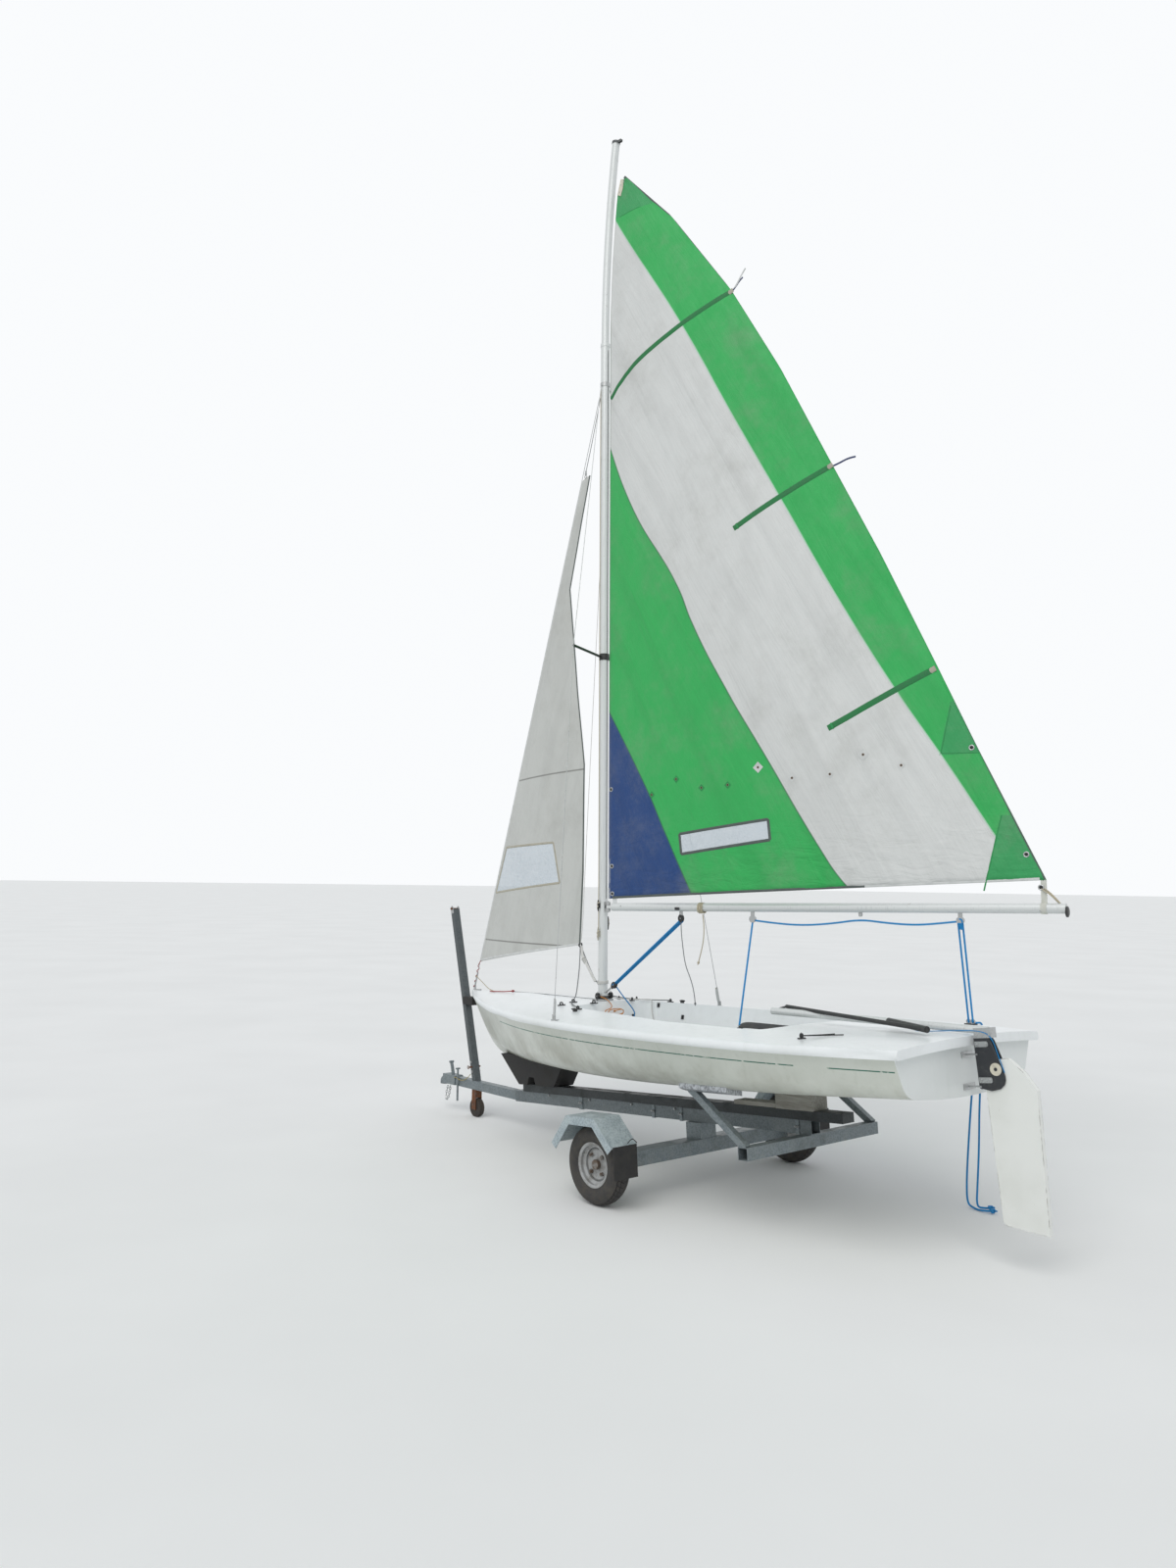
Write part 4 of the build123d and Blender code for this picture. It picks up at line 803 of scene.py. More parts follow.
# Jib: luff height, leech x, leech height
JIB = [
    (1.062, 0.772, 1.232),
    (1.801, 0.750, 1.688),
    (2.480, 0.756, 2.372),
    (3.101, 0.838, 2.850),
    (3.552, 0.936, 3.539),
    (4.240, 0.748, 4.260),
]
JIB_SIDE = 1 if abs(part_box("jib")[1].y) > abs(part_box("jib")[0].y) else -1


def stay_x(height):
    """How far ahead the forestay lies at a height, from the stay's own box."""
    low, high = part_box("forestay")
    share = (height - low.z) / (high.z - low.z)
    return high.x + (low.x - high.x) * share


def jib_point(across, up):
    """Point of the jib in the row frame, for shares of its width and height."""
    place = up * (len(JIB) - 1)
    index = min(int(place), len(JIB) - 2)
    share = place - index
    luff_z, leech_x, leech_z = [a + (b - a) * share for a, b in zip(JIB[index], JIB[index + 1])]
    start = Vector((stay_x(luff_z) - 0.008, 0, luff_z))
    end = Vector((leech_x, 0, leech_z))
    width = (end - start).length
    point = start.lerp(end, across)
    belly = 0.05 * width * 4 * across * (1 - across)
    crease = 0.004 * fold_noise(point.x, point.z * 0.4, 6.0, 4.2) * min(1.0, across * 8)
    return Vector((point.x, JIB_SIDE * (belly + 0.0015 + crease), point.z))


def make_sails(main_cloth, jib_cloth, film):
    mesh = make_sheet_mesh(main_point, 84, 150)
    sail, area = make_sail("mainsail_cloth", mesh, MAIN_WINDOW, [main_cloth, film], BOOM, "boom")
    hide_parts("mainsail")
    mesh = make_sheet_mesh(jib_point, 40, 140)
    sail, area = make_sail("jib_cloth", mesh, JIB_WINDOW, [jib_cloth, film], None, "root")
    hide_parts("jib")


# Shapes


def smooth_path(points, steps=8):
    """Places along the NURBS spline that the given points control."""
    data = bpy.data.curves.new("route", "CURVE")
    data.dimensions = "3D"
    data.resolution_u = steps
    spline = data.splines.new("NURBS")
    spline.points.add(len(points) - 1)
    for knot, point in zip(spline.points, points):
        knot.co = (*point, 1.0)
    spline.order_u = 3
    spline.use_endpoint_u = True
    holder = bpy.data.objects.new("route", data)
    mesh = bpy.data.meshes.new_from_object(holder)
    path = [vertex.co.copy() for vertex in mesh.vertices]
    bpy.data.objects.remove(holder)
    bpy.data.curves.remove(data)
    bpy.data.meshes.remove(mesh)
    return path


def circle(axis, count):
    """Directions square to an axis, all the way round it."""
    side = axis.orthogonal().normalized()
    other = axis.cross(side)
    angles = [2 * math.pi * k / count for k in range(count)]
    return [side * math.cos(angle) + other * math.sin(angle) for angle in angles]


class Shape:
    """Gathers closed shapes into one mesh with several materials."""

    def __init__(self, frame=None):
        self.mesh = bmesh.new()
        self.uv = self.mesh.loops.layers.uv.new("UVMap")
        self.frame = Matrix.Identity(4) if frame is None else frame

    def add(self, corners, faces, material=0, bevel=0.0):
        verts = [self.mesh.verts.new(self.frame @ Vector(corner)) for corner in corners]
        made = [self.mesh.faces.new([verts[i] for i in face]) for face in faces]
        for face in made:
            face.material_index = material
        if bevel:
            edges = list({edge for face in made for edge in face.edges if edge.calc_face_angle(0) > 0.5})
            done = bmesh.ops.bevel(self.mesh, geom=edges, offset=bevel, segments=2, affect="EDGES")
            for face in done["faces"]:
                face.material_index = material

    def box(self, low, high, material=0, bevel=0.001):
        (x0, y0, z0), (x1, y1, z1) = low, high
        corners = [(x, y, z) for z in (z0, z1) for x, y in ((x0, y0), (x1, y0), (x1, y1), (x0, y1))]
        faces = [(3, 2, 1, 0), (4, 5, 6, 7), (0, 1, 5, 4), (1, 2, 6, 5), (2, 3, 7, 6), (3, 0, 4, 7)]
        self.add(corners, faces, material, bevel)

    def turned(self, start, end, profile, material=0, sides=20):
        """A turned form between two points; the profile gives shares of the way and radii."""
        start, end = Vector(start), Vector(end)
        around = circle((end - start).normalized(), sides)
        corners = [start.lerp(end, share) + out * radius for share, radius in profile for out in around]
        faces = []
        for ring in range(0, (len(profile) - 1) * sides, sides):
            for k in range(sides):
                a, b = ring + k, ring + (k + 1) % sides
                faces.append((a, b, b + sides, a + sides))
        faces.append(tuple(reversed(range(sides))))
        faces.append(tuple(range((len(profile) - 1) * sides, len(profile) * sides)))
        self.add(corners, faces, material)

    def pin(self, start, end, radius, material=0, sides=16):
        """A round bar with softened ends."""
        soft = min(0.3, radius * 0.3 / max((Vector(end) - Vector(start)).length, 1e-6))
        profile = [(0, radius * 0.8), (soft, radius), (1 - soft, radius), (1, radius * 0.8)]
        self.turned(start, end, profile, material, sides)

    def nut(self, place, axis, size, height, material=0):
        """A hexagon nut with its bolt's end standing out."""
        place, axis = Vector(place), Vector(axis).normalized()
        self.turned(place, place + axis * height, [(0, size), (0.85, size), (1, size * 0.85)], material, 6)
        self.pin(place + axis * height * 0.9, place + axis * height * 1.5, size * 0.5, material, 10)

    def ring(self, place, axis, radius, thick, material=0, sides=24, steps=8):
        """A round eye about an axis."""
        place, axis = Vector(place), Vector(axis).normalized()
        corners, faces = [], []
        for k, out in enumerate(circle(axis, sides)):
            after = (k + 1) % sides
            for j in range(steps):
                tilt = 2 * math.pi * j / steps
                spot = place + out * (radius + thick * math.cos(tilt)) + axis * thick * math.sin(tilt)
                corners.append(spot)
                n = (j + 1) % steps
                faces.append((k * steps + j, after * steps + j, after * steps + n, k * steps + n))
        self.add(corners, faces, material)

    def swept(self, path, radius, material=0, sides=8, up=None):
        """A tube along a path, or a strap where the radius is a pair: half its width, half its thickness."""
        wide, thick = radius if isinstance(radius, tuple) else (radius, radius)
        path = [Vector(point) for point in path]
        runs = [(b - a).normalized() for a, b in zip(path, path[1:])]
        runs = [runs[0]] + [(a + b).normalized() for a, b in zip(runs, runs[1:])] + [runs[-1]]
        side = runs[0].orthogonal()
        rings, along = [], 0.0
        for i, (point, run) in enumerate(zip(path, runs)):
            side = Vector(up).cross(run) if up else side
            side = (side - run * side.dot(run)).normalized()
            other = run.cross(side)
            along += (point - path[i - 1]).length if i else 0.0
            ring = []
            for k in range(sides):
                angle = 2 * math.pi * k / sides
                spot = point + side * wide * math.cos(angle) + other * thick * math.sin(angle)
                ring.append(self.mesh.verts.new(self.frame @ spot))
            rings.append((ring, along))
        for (first, start), (second, end) in zip(rings, rings[1:]):
            for k in range(sides):
                n = (k + 1) % sides
                face = self.mesh.faces.new((first[k], first[n], second[n], second[k]))
                face.material_index = material
                for loop, uv in zip(face.loops, ((start, k), (start, k + 1), (end, k + 1), (end, k))):
                    loop[self.uv].uv = (uv[0], uv[1] / sides)
        for ring in (rings[0][0][::-1], rings[-1][0]):
            self.mesh.faces.new(ring).material_index = material

    def plate(self, outline, low, high, material=0, bevel=0.0):
        """A flat plate square to y; the outline gives x and z."""
        corners = [(x, level, z) for level in (low, high) for x, z in outline]
        count = len(outline)
        faces = [tuple(reversed(range(count))), tuple(range(count, 2 * count))]
        faces += [(k, (k + 1) % count, (k + 1) % count + count, k + count) for k in range(count)]
        self.add(corners, faces, material, bevel)

    def done(self, name, materials, body, frame=None, slot=None):
        """Makes the object and lets it ride on its body; given two bodies, it bakes the object's place into
        its mesh and rides on neither.
        """
        bmesh.ops.recalc_face_normals(self.mesh, faces=self.mesh.faces[:])
        piece = link(name, self.mesh, materials, frame)
        piece.data.set_sharp_from_angle(angle=math.radians(38))
        if isinstance(body, tuple):
            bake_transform(piece)
        else:
            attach(piece, body)
        return piece


def tubes(name, paths, radius, material, body, frame=None):
    shape = Shape()
    for path in paths:
        shape.swept(path, radius)
    shape.done(name, [material], body, frame)


def rope(name, points, *rest):
    tubes(name, [smooth_path(points)], *rest)


def lay_rope(name, points, radius, material, body):
    """A rope with a length of its own, in the row frame; gives its piece and the path that it follows."""
    path = smooth_path(points, 12)
    shape = Shape()
    shape.swept(path, radius, sides=12)
    return shape.done(name, [material], body), path


def loose_rope(name, points, radius, material, body):
    """A slack rope between two fittings."""
    piece, path = lay_rope(name, points, radius, material, body)


def hanging_rope(name, points, radius, material, body):
    """A rope with a free end, knotted there."""
    piece, path = lay_rope(name, points, radius, material, body)
    end, run = path[-1], (path[-1] - path[-3]).normalized()
    side = run.orthogonal().normalized()
    other = run.cross(side)
    turns = []
    for k in range(22):
        angle = 0.7 * k
        out = side * math.cos(angle) + other * math.sin(angle)
        turns.append(end + out * radius * 1.5 + run * radius * (0.16 * k - 1.2))
    knot = Shape()
    knot.swept(turns, radius * 0.95, sides=10)
    knot.swept([turns[-1], end + run * radius * 3.6, end + run * radius * 5.0], radius * 0.9, sides=10)
    tied = knot.done(name + "_knot", [material], body)


# The looks of all pieces
make_camera()
make_light()
make_floor(make_floor_material())

STEEL = make_steel("stainless", (178, 180, 180), 0.32)
BLACK = make_plastic("black_plastic", (34, 35, 36))
CREAM_DISC = make_plastic("cream_disc", (212, 206, 188), 0.45)
BEIGE = make_plastic("beige_end", (170, 166, 150), 0.5)
# Near black: the stern cords' own colour, and painted shade on the discs that fill the eyes' holes.
BLACK_CORD_AND_HOLE_SHADE = make_plastic("black_cord_and_hole_shade", (16, 17, 18), 0.75)
BROWN_EYE = make_steel("brown_eye", (134, 112, 92), 0.5)
SPAR = make_painted_spar()
WEBBING = make_rubber("webbing", (56, 58, 60), (110, 108, 100), 0.4)
RUST = [((0.35, 0.65), (24, 8, 0.75), (128, 82, 52), 1.0), ((0.55, 0.75), (60, 6), (120, 122, 120), 0.7)]
RUSTY = make_worn("rusty_steel", (86, 58, 42), RUST, (0.7, 0.92), (130, 6, 0.0012, 0.8), 0.2).material
DULL = [((0.35, 0.7), (40, 6), (110, 112, 112), 1.0)]
ALLOY = make_worn("masthead_alloy", (78, 80, 82), DULL, (0.4, 0.66), (140, 4, 0.0006, 0.6), 0.6).material
DECK = make_gelcoat("deck_gelcoat", (238, 242, 243), (212, 215, 212), (168, 166, 154), 0.25).material
BLUE_ROPE = make_rope_material("blue_rope", (24, 148, 218), (110, 196, 236), 0.5)
WHITE_ROPE = make_rope_material("white_rope", (234, 234, 230), (184, 188, 196), 0.35)
GREY_ROPE = make_rope_material("grey_rope", (136, 140, 142), (66, 68, 72), 0.5)
CREAM_ROPE = make_rope_material("cream_rope", (212, 202, 176), (170, 150, 116), 0.4)
ORANGE_ROPE = make_rope_material("orange_rope", (222, 142, 52), (238, 196, 130), 0.4)
RED_ROPE = make_rope_material("red_rope", (170, 48, 48), (214, 170, 168), 0.4)
CABLE = make_rope_material("cable", (186, 172, 116), (130, 116, 80), 0.2, 0.02)
POCKET = make_trim("batten_pocket", (24, 104, 56), (60, 150, 88))
PATCH = make_trim("sail_patch", (30, 130, 68), (70, 170, 104))
TAPE = make_trim("leech_tape", (70, 78, 76), (112, 120, 116))
WHITE_TAPE = make_trim("white_tape", (212, 214, 212), (164, 168, 168))
NAVY_TAPE = make_trim("navy_tape", (28, 40, 84), (66, 80, 120))

SLOT_MATERIALS = {
    "gelcoat_hull": make_hull_material(),
    "gelcoat_deck": DECK,
    "board": make_foil_material(),
    "spar": SPAR,
    "tiller": SPAR,
    "stainless": STEEL,
    "black_plastic": BLACK,
    "webbing": WEBBING,
    "rudder_alloy": make_plastic("rudder_head", (44, 46, 50), 0.42),
    "tyre": make_tyre(),
    "rim": make_rim_material(),
    "jockey_tyre": make_rubber("tyre", (40, 37, 34), (92, 78, 62), 0.55),
    "flap_rubber": make_rubber("flap_rubber", (30, 30, 31), (84, 82, 78), 0.4),
    "wood": make_wood("timber", (96, 84, 68), (150, 138, 118)),
    "galvanised": make_galvanised("galvanised", 0.90, 0.7),
    "white_plastic": CREAM_DISC,
    "masthead_alloy": ALLOY,
    "sailcloth_main": WEBBING,      # the solids of both sails are replaced
    "sailcloth_jib": WEBBING,
}
NODE_MATERIALS = {
    "bilge_pads": make_pad_material(),
    "jockey_fork": RUSTY,
    # Tone 0.42: the rail's own dark finish, made darker still by painted shade from the hull above.
    "keel_rail": make_galvanised("rail_steel_dark_and_in_painted_shade", 0.42, 0.9),
    "bow_post": make_galvanised("post_steel", 0.62, 0.8),
    "fenders": make_galvanised("fender_steel", 1.22, 0.45),
    # Tone 0.80: painted shade from the hull above darkens the beam.
    "main_beam": make_galvanised("beam_steel_in_painted_shade", 0.80, 0.8),
    "clew_strap": make_trim("strap_cloth", (212, 214, 206), (168, 164, 150)),
    "boom_blocks": STEEL,
    "keel_rests": make_wood("grey_plank", (126, 124, 116), (172, 170, 162)),
}
for row in frame["record"]["subparts"]:
    chosen = NODE_MATERIALS.get(row["node"], SLOT_MATERIALS[row["material_slot"]])
    slots = NODES[row["node"]].data.materials
    slots.clear()
    slots.append(chosen)
make_sails(make_main_cloth(), make_jib_cloth(), make_window_film())


# Mainsail's trim, in the boom's frame


def on_main(aft, height, lift=0.0):
    """Point on the mainsail, lift to the port side of the cloth."""
    across = 0.5
    for _ in range(14):
        low = height - SAIL_RISE * across
        start, end = luff_at(low), between(LEECH, low + SAIL_RISE)
        across = min(1.0, max(0.0, (aft - start) / (end - start)))
    up = (height - SAIL_RISE * across - LUFF_FOOT) / (LUFF_HEAD - LUFF_FOOT)
    point = main_point(across, min(1.0, max(0.0, up)))
    return Vector((aft, point.y - lift, height))


def main_place(aft, height):
    """Frame on the mainsail: x along the cloth, y through it, z up it."""
    along = (on_main(aft + 0.02, height) - on_main(aft - 0.02, height)).normalized()
    up = (on_main(aft, height + 0.02) - on_main(aft, height - 0.02)).normalized()
    through = up.cross(along).normalized()
    return axes_at(on_main(aft, height), along, through, along.cross(through))


def along_main(corners, count=24):
    """Points on the mainsail along straight runs between corners."""
    points = []
    count = max(3, count // (len(corners) - 1))
    for (s0, z0), (s1, z1) in zip(corners, corners[1:]):
        for k in range(count):
            share = k / count
            points.append(on_main(s0 + (s1 - s0) * share, z0 + (z1 - z0) * share))
    points.append(on_main(*corners[-1]))
    return points


ACROSS = (0, 1, 0)
BATTENS = [
    [(0.016, 3.228), (0.075, 3.284), (0.145, 3.338), (0.225, 3.388), (0.320, 3.432), (0.455, 3.486),
     (0.600, 3.546), (0.740, 3.603), (0.880, 3.660)],
    [(0.955, 2.170), (1.500, 2.440)],
    [(1.510, 0.968), (2.050, 1.230)],
]
RIBBONS = [
    [(0.100, 0.105, -0.012, 3), (0.082, 0.070, 0.004, 4)],
    [(0.150, 0.034, 0.010, 4)],
    [],
]
REEF_POINTS = [(0.351, 0.669), (0.537, 0.751), (0.718, 0.689), (0.897, 0.695), (1.094, 0.782),
               (1.299, 0.711), (1.517, 0.720), (1.701, 0.813), (1.901, 0.745)]
FIRST_WHITE_POINT = 4
LARGE_POINTS = (4, 7)
MAIN_EYES = [(0.022, 0.721), (0.030, 0.248), (0.034, 0.080), (2.248, 0.817), (2.560, 0.118), (2.497, 0.277)]


def make_battens():
    shape = Shape()
    for number, corners in enumerate(BATTENS):
        shape.swept(along_main(corners), (0.0175, 0.0030), 0, 12, ACROSS)
        (s0, z0), (s1, z1) = corners[-2:]
        run = Vector((s1 - s0, 0, z1 - z0)).normalized()
        end = on_main(s1, z1)
        shape.swept([end - run * 0.004, end + run * 0.028], (0.015, 0.0042), 1, 12, ACROSS)
        shape.swept([end - run * 0.05, end - run * 0.042], (0.0185, 0.0036), 2, 12, ACROSS)
        inner = on_main(*corners[0])
        shape.swept([inner + run * 0.02, inner + run * 0.03], (0.0185, 0.0036), 2, 12, ACROSS)
        for reach, rise, droop, material in RIBBONS[number]:
            root = on_main(s1 + 0.012, z1)
            bends = [(0, 0, 0), (reach * 0.35, -0.004, rise * 0.25), (reach * 0.7, 0.006, rise * 0.9),
                     (reach, -0.004, rise - droop)]
            tail = [root + Vector(bend) for bend in bends]
            shape.swept(smooth_path(tail, 6), (0.0055, 0.0009), material, 8, ACROSS)
    cloths = [POCKET, BEIGE, PATCH, WHITE_TAPE, NAVY_TAPE]
    shape.done("batten_pockets", cloths, "boom", BOOM, "sailcloth_main")


def make_reef_points():
    shape = Shape()
    for number, place in enumerate(REEF_POINTS):
        shape.frame = main_place(*place)
        half = 0.032 if number in LARGE_POINTS else 0.022
        material = 1 if number >= FIRST_WHITE_POINT else 0
        outline = [(0, -half), (half, 0), (0, half), (-half, 0)]
        shape.plate(outline, -0.0022, 0.0022, material, 0.0007)
        shape.ring((0, 0, 0), (0, 1, 0), 0.0060, 0.0026, 2, 16, 6)
        # A dark disc fills the hole: painted shade where the eye is open.
        hole = [(0, 0.0040), (0.1, 0.0046), (0.9, 0.0046), (1, 0.0040)]
        shape.turned((0, -0.0027, 0), (0, 0.0027, 0), hole, 3, 12)
    shape.done("reef_points", [PATCH, WHITE_TAPE, BROWN_EYE, BLACK_CORD_AND_HOLE_SHADE], "boom", BOOM, "sailcloth_main")


def make_eyes():
    shape = Shape()
    for place in MAIN_EYES:
        shape.frame = main_place(*place)
        shape.ring((0, 0, 0), (0, 1, 0), 0.0115, 0.0035, 0, 20, 8)
        # A dark disc fills the hole: painted shade where the eye is open.
        hole = [(0, 0.008), (0.1, 0.009), (0.9, 0.009), (1, 0.008)]
        shape.turned((0, -0.0026, 0), (0, 0.0026, 0), hole, 1, 14)
    shape.done("sail_eyes", [STEEL, BLACK_CORD_AND_HOLE_SHADE], "boom", BOOM)


def make_main_tapes():
    shape = Shape()
    leech = [main_point(1, k / 70) - Vector((0.009, 0, 0)) for k in range(71)]
    shape.swept(leech, (0.0085, 0.0016), 0, 10, ACROSS)
    for first, last, material in ((0.012, 0.655, 0), (0.655, 0.988, 2)):
        foot = [main_point(first + (last - first) * k / 30, 0) + Vector((0, 0, 0.006)) for k in range(31)]
        shape.swept(foot, (0.0075, 0.0016), material, 10, ACROSS)
    luff = [main_point(0, k / 60) + Vector((0.012, 0, 0)) for k in range(61)]
    shape.swept(luff, (0.010, 0.0018), 2, 10, ACROSS)
    for pair in sides_of(MAIN_WINDOW):
        shape.swept(along_main(pair, 16), (0.009, 0.0019), 0, 10, ACROSS)
    clew = along_main([(2.385, 0.471), (2.296, 0.101)], 10)
    shape.swept(clew, (0.004, 0.0016), 3, 8, ACROSS)
    for corners in ([(2.147, 1.040), (2.100, 0.795), (2.286, 0.790)], [(0.078, 4.435), (0.240, 4.442)]):
        shape.swept(along_main(corners, 10), (0.004, 0.0016), 3, 8, ACROSS)
    shape.done("sail_tapes", [TAPE, NAVY_TAPE, WHITE_TAPE, PATCH], "boom", BOOM, "sailcloth_main")


def make_headboard():
    shape = Shape()
    at = on_main(0.100, 4.600).y
    outline = [(0.061, 4.594), (0.087, 4.692), (0.106, 4.684), (0.104, 4.630), (0.086, 4.576)]
    shape.plate(outline, at - 0.0042, at + 0.0042, 0, 0.0012)
    for s, z in ((0.077, 4.606), (0.090, 4.650)):
        shape.pin((s, at - 0.0062, z), (s, at + 0.0062, z), 0.0042, 1, 12)
    shape.ring((0.099, at, 4.668), (0, 1, 0), 0.0075, 0.0026, 1, 18, 8)
    shape.done("headboard", [CREAM_DISC, STEEL], "boom", BOOM)


def make_boom_trim():
    shape = Shape()
    for k in range(6):
        shape.ring((0.652 + 0.006 * k, 0, 0.0), (1, 0.05 * (-1) ** k, 0), 0.0285, 0.0034, 0, 28, 8)
    end = [(0.650, -0.020, -0.022), (0.668, -0.034, -0.008), (0.688, -0.030, 0.012)]
    shape.swept(smooth_path(end, 6), 0.0034)
    shape.box((0.500, -0.031, -0.014), (0.528, -0.022, 0.002), 1, 0.002)
    cap = [(0, 0.0246), (0.3, 0.0262), (0.7, 0.0262), (1, 0.020)]
    shape.turned((2.671, 0, 0.003), (2.682, 0, 0.003), cap, 1, 28)
    for aft in (0.110, 2.560):
        shape.nut((aft, -0.024, 0.006), (0, -1, 0), 0.0048, 0.003, 2)
    shape.ring((2.640, 0, 0.036), (0, 1, 0), 0.009, 0.003, 2, 20, 8)
    shape.done("boom_trim", [CREAM_ROPE, BLACK, STEEL], "boom", BOOM)
    turns = [(2.560, -0.004, 0.112), (2.604, -0.016, 0.086), (2.650, -0.010, 0.040), (2.652, 0.010, 0.034),
             (2.606, 0.014, 0.080), (2.562, 0.004, 0.118), (2.598, -0.012, 0.100), (2.646, -0.014, 0.048),
             (2.648, 0.008, 0.030), (2.610, 0.018, 0.070), (2.572, 0.008, 0.108)]
    rope("clew_lashing", turns, 0.0028, CREAM_ROPE, "boom", BOOM)
    knot = Shape()
    knot.ring((2.166, -0.004, -0.052), (0.3, 1, 0.2), 0.013, 0.0045, 0, 20, 8)
    for k in range(4):
        knot.ring((2.166 + 0.002 * k, -0.004, -0.064 - 0.008 * k), (0.2, 0.1, 1), 0.0085, 0.0045, 0, 20, 8)
    knot.done("sheet_knot", [BLUE_ROPE], "boom", BOOM)


# Jib's trim


def on_jib(x, z):
    """Point of the jib at a place along and up, in the row frame."""
    across, up = 0.5, 0.5
    for _ in range(12):
        low, high = 0.0, 1.0
        for _ in range(22):
            up = (low + high) / 2
            if jib_point(across, up).z < z:
                low = up
            else:
                high = up
        start, end = jib_point(0, up), jib_point(1, up)
        across = min(1.0, max(0.0, (start.x - x) / max(1e-6, start.x - end.x)))
    return Vector((x, jib_point(across, up).y, z))


def make_jib_trim():
    shape = Shape()
    shape.swept([jib_point(0.004, k / 60) for k in range(61)], (0.010, 0.0022), 0, 10, ACROSS)
    shape.swept([jib_point(0.99, k / 60) for k in range(61)], (0.0075, 0.0017), 1, 10, ACROSS)
    shape.swept([jib_point(k / 30, 0.003) for k in range(31)], (0.008, 0.0018), 0, 10, ACROSS)
    for (x0, z0), (x1, z1) in sides_of(JIB_WINDOW):
        edge = [on_jib(x0 + (x1 - x0) * k / 12, z0 + (z1 - z0) * k / 12) for k in range(13)]
        shape.swept(edge, (0.008, 0.0020), 2, 10, ACROSS)
    shape.done("jib_tapes", [WHITE_TAPE, TAPE, BEIGE], "root", None, "sailcloth_jib")
    metal = Shape()
    head, clew, tack = jib_point(0.5, 1.0), jib_point(1.0, 0.0), jib_point(0.0, 0.0)
    metal.ring(head + Vector((0, 0, 0.010)), (0, 1, 0), 0.010, 0.0028, 0, 20, 8)
    metal.turned(head + Vector((0, 0, 0.018)), head + Vector((-0.002, 0, 0.052)),
                 [(0, 0.004), (0.2, 0.0075), (0.5, 0.0075), (0.55, 0.004), (0.8, 0.007), (1, 0.004)], 0, 16)
    metal.ring(clew + Vector((0.016, 0, 0.014)), (0, 1, 0), 0.010, 0.0034, 0, 20, 8)
    metal.ring(clew + Vector((-0.002, 0.004, 0.000)), (1, 0, 0), 0.012, 0.0042, 1, 20, 8)
    metal.ring(tack + Vector((-0.012, 0, 0.012)), (0, 1, 0), 0.009, 0.0030, 0, 20, 8)
    metal.done("jib_fittings", [STEEL, BLACK], "root")
    halyard = [head + Vector((-0.003, 0, 0.048)), (0.700, 0.004, 4.55), MAST @ Vector((0.031, 0, 3.900))]
    rope("jib_halyard", halyard, 0.0022, GREY_ROPE, "root")
    wraps = []
    for k in range(30):
        height = 0.880 + 0.0052 * k
        wraps.append((stay_x(height) + 0.0065 * math.cos(k * 0.9), 0.0065 * math.sin(k * 0.9), height))
    rope("tack_lashing", [*wraps, tack + Vector((-0.010, 0.004, 0.006))], 0.0028, RED_ROPE, "root")
    start = Vector((stay_x(0.960), 0.006, 0.960))
    foot = on_row_deck(1.640, 0.035, 0.004)
    bow_line = [start, (1.790, 0.018, 0.915), (1.720, 0.030, 0.885), foot]
    rope("tack_line", bow_line, 0.0028, CREAM_ROPE, "root")


# Mast, deck and running rigging


def on_row_deck(x, y, lift=0.0):
    """Point over the deck at a place of the row frame."""
    along = x - BOAT_PLACE[0]
    for _ in range(4):
        point = on_deck(along, y, lift)
        along += x - point.x
    return point


def deck_place(x, y, heading=0.0):
    """Frame on the deck: z square to it, x along the heading in degrees."""
    ahead = (on_row_deck(x + 0.03, y) - on_row_deck(x - 0.03, y)).normalized()
    port = (on_row_deck(x, y + 0.02) - on_row_deck(x, y - 0.02)).normalized()
    up = ahead.cross(port).normalized()
    return axes_at(on_row_deck(x, y), ahead, up.cross(ahead), up) @ turn(math.radians(heading), "Z")


def add_block(shape, middle, radius):
    """A pulley block about a place of the shape's frame, its sheave across y, of materials 0 and 1."""
    before = shape.frame
    shape.frame = before @ Matrix.Translation(middle)
    angles = [k * math.pi / 10 for k in range(20)]
    outline = [(radius * math.cos(a) * 0.86, radius * math.sin(a) * 1.18) for a in angles]
    for side in (-1, 1):
        shape.plate(outline, side * radius * 0.42 - 0.0012, side * radius * 0.42 + 0.0012, 0, 0.0008)
    groove = [(share, radius * size) for share, size in SHEAVE]
    shape.turned((0, -radius * 0.36, 0), (0, radius * 0.36, 0), groove)
    shape.pin((0, -radius * 0.52, 0), (0, radius * 0.52, 0), radius * 0.2, 1, 12)
    shape.ring((0, 0, radius * 1.28), (0, 1, 0), radius * 0.26, radius * 0.10, 1, 16, 6)
    shape.frame = before


SHEAVE = [(0, 0.74), (0.12, 0.74), (0.5, 0.56), (0.88, 0.74), (1, 0.74)]


def add_cleat(shape, length, material):
    """A horn cleat along x, over the origin of the shape's frame, its screws of material 1."""
    shape.box((-length * 0.22, -0.006, -0.001), (length * 0.22, 0.006, 0.010), material, 0.002)
    horn = [(0, 0.002), (0.12, 0.0042), (0.5, 0.0062), (0.88, 0.0042), (1, 0.002)]
    shape.turned((-length / 2, 0, 0.013), (length / 2, 0, 0.013), horn, material, 14)
    for x in (-length * 0.12, length * 0.12):
        shape.pin((x, 0, 0.009), (x, 0, 0.0195), 0.0024, 1, 10)


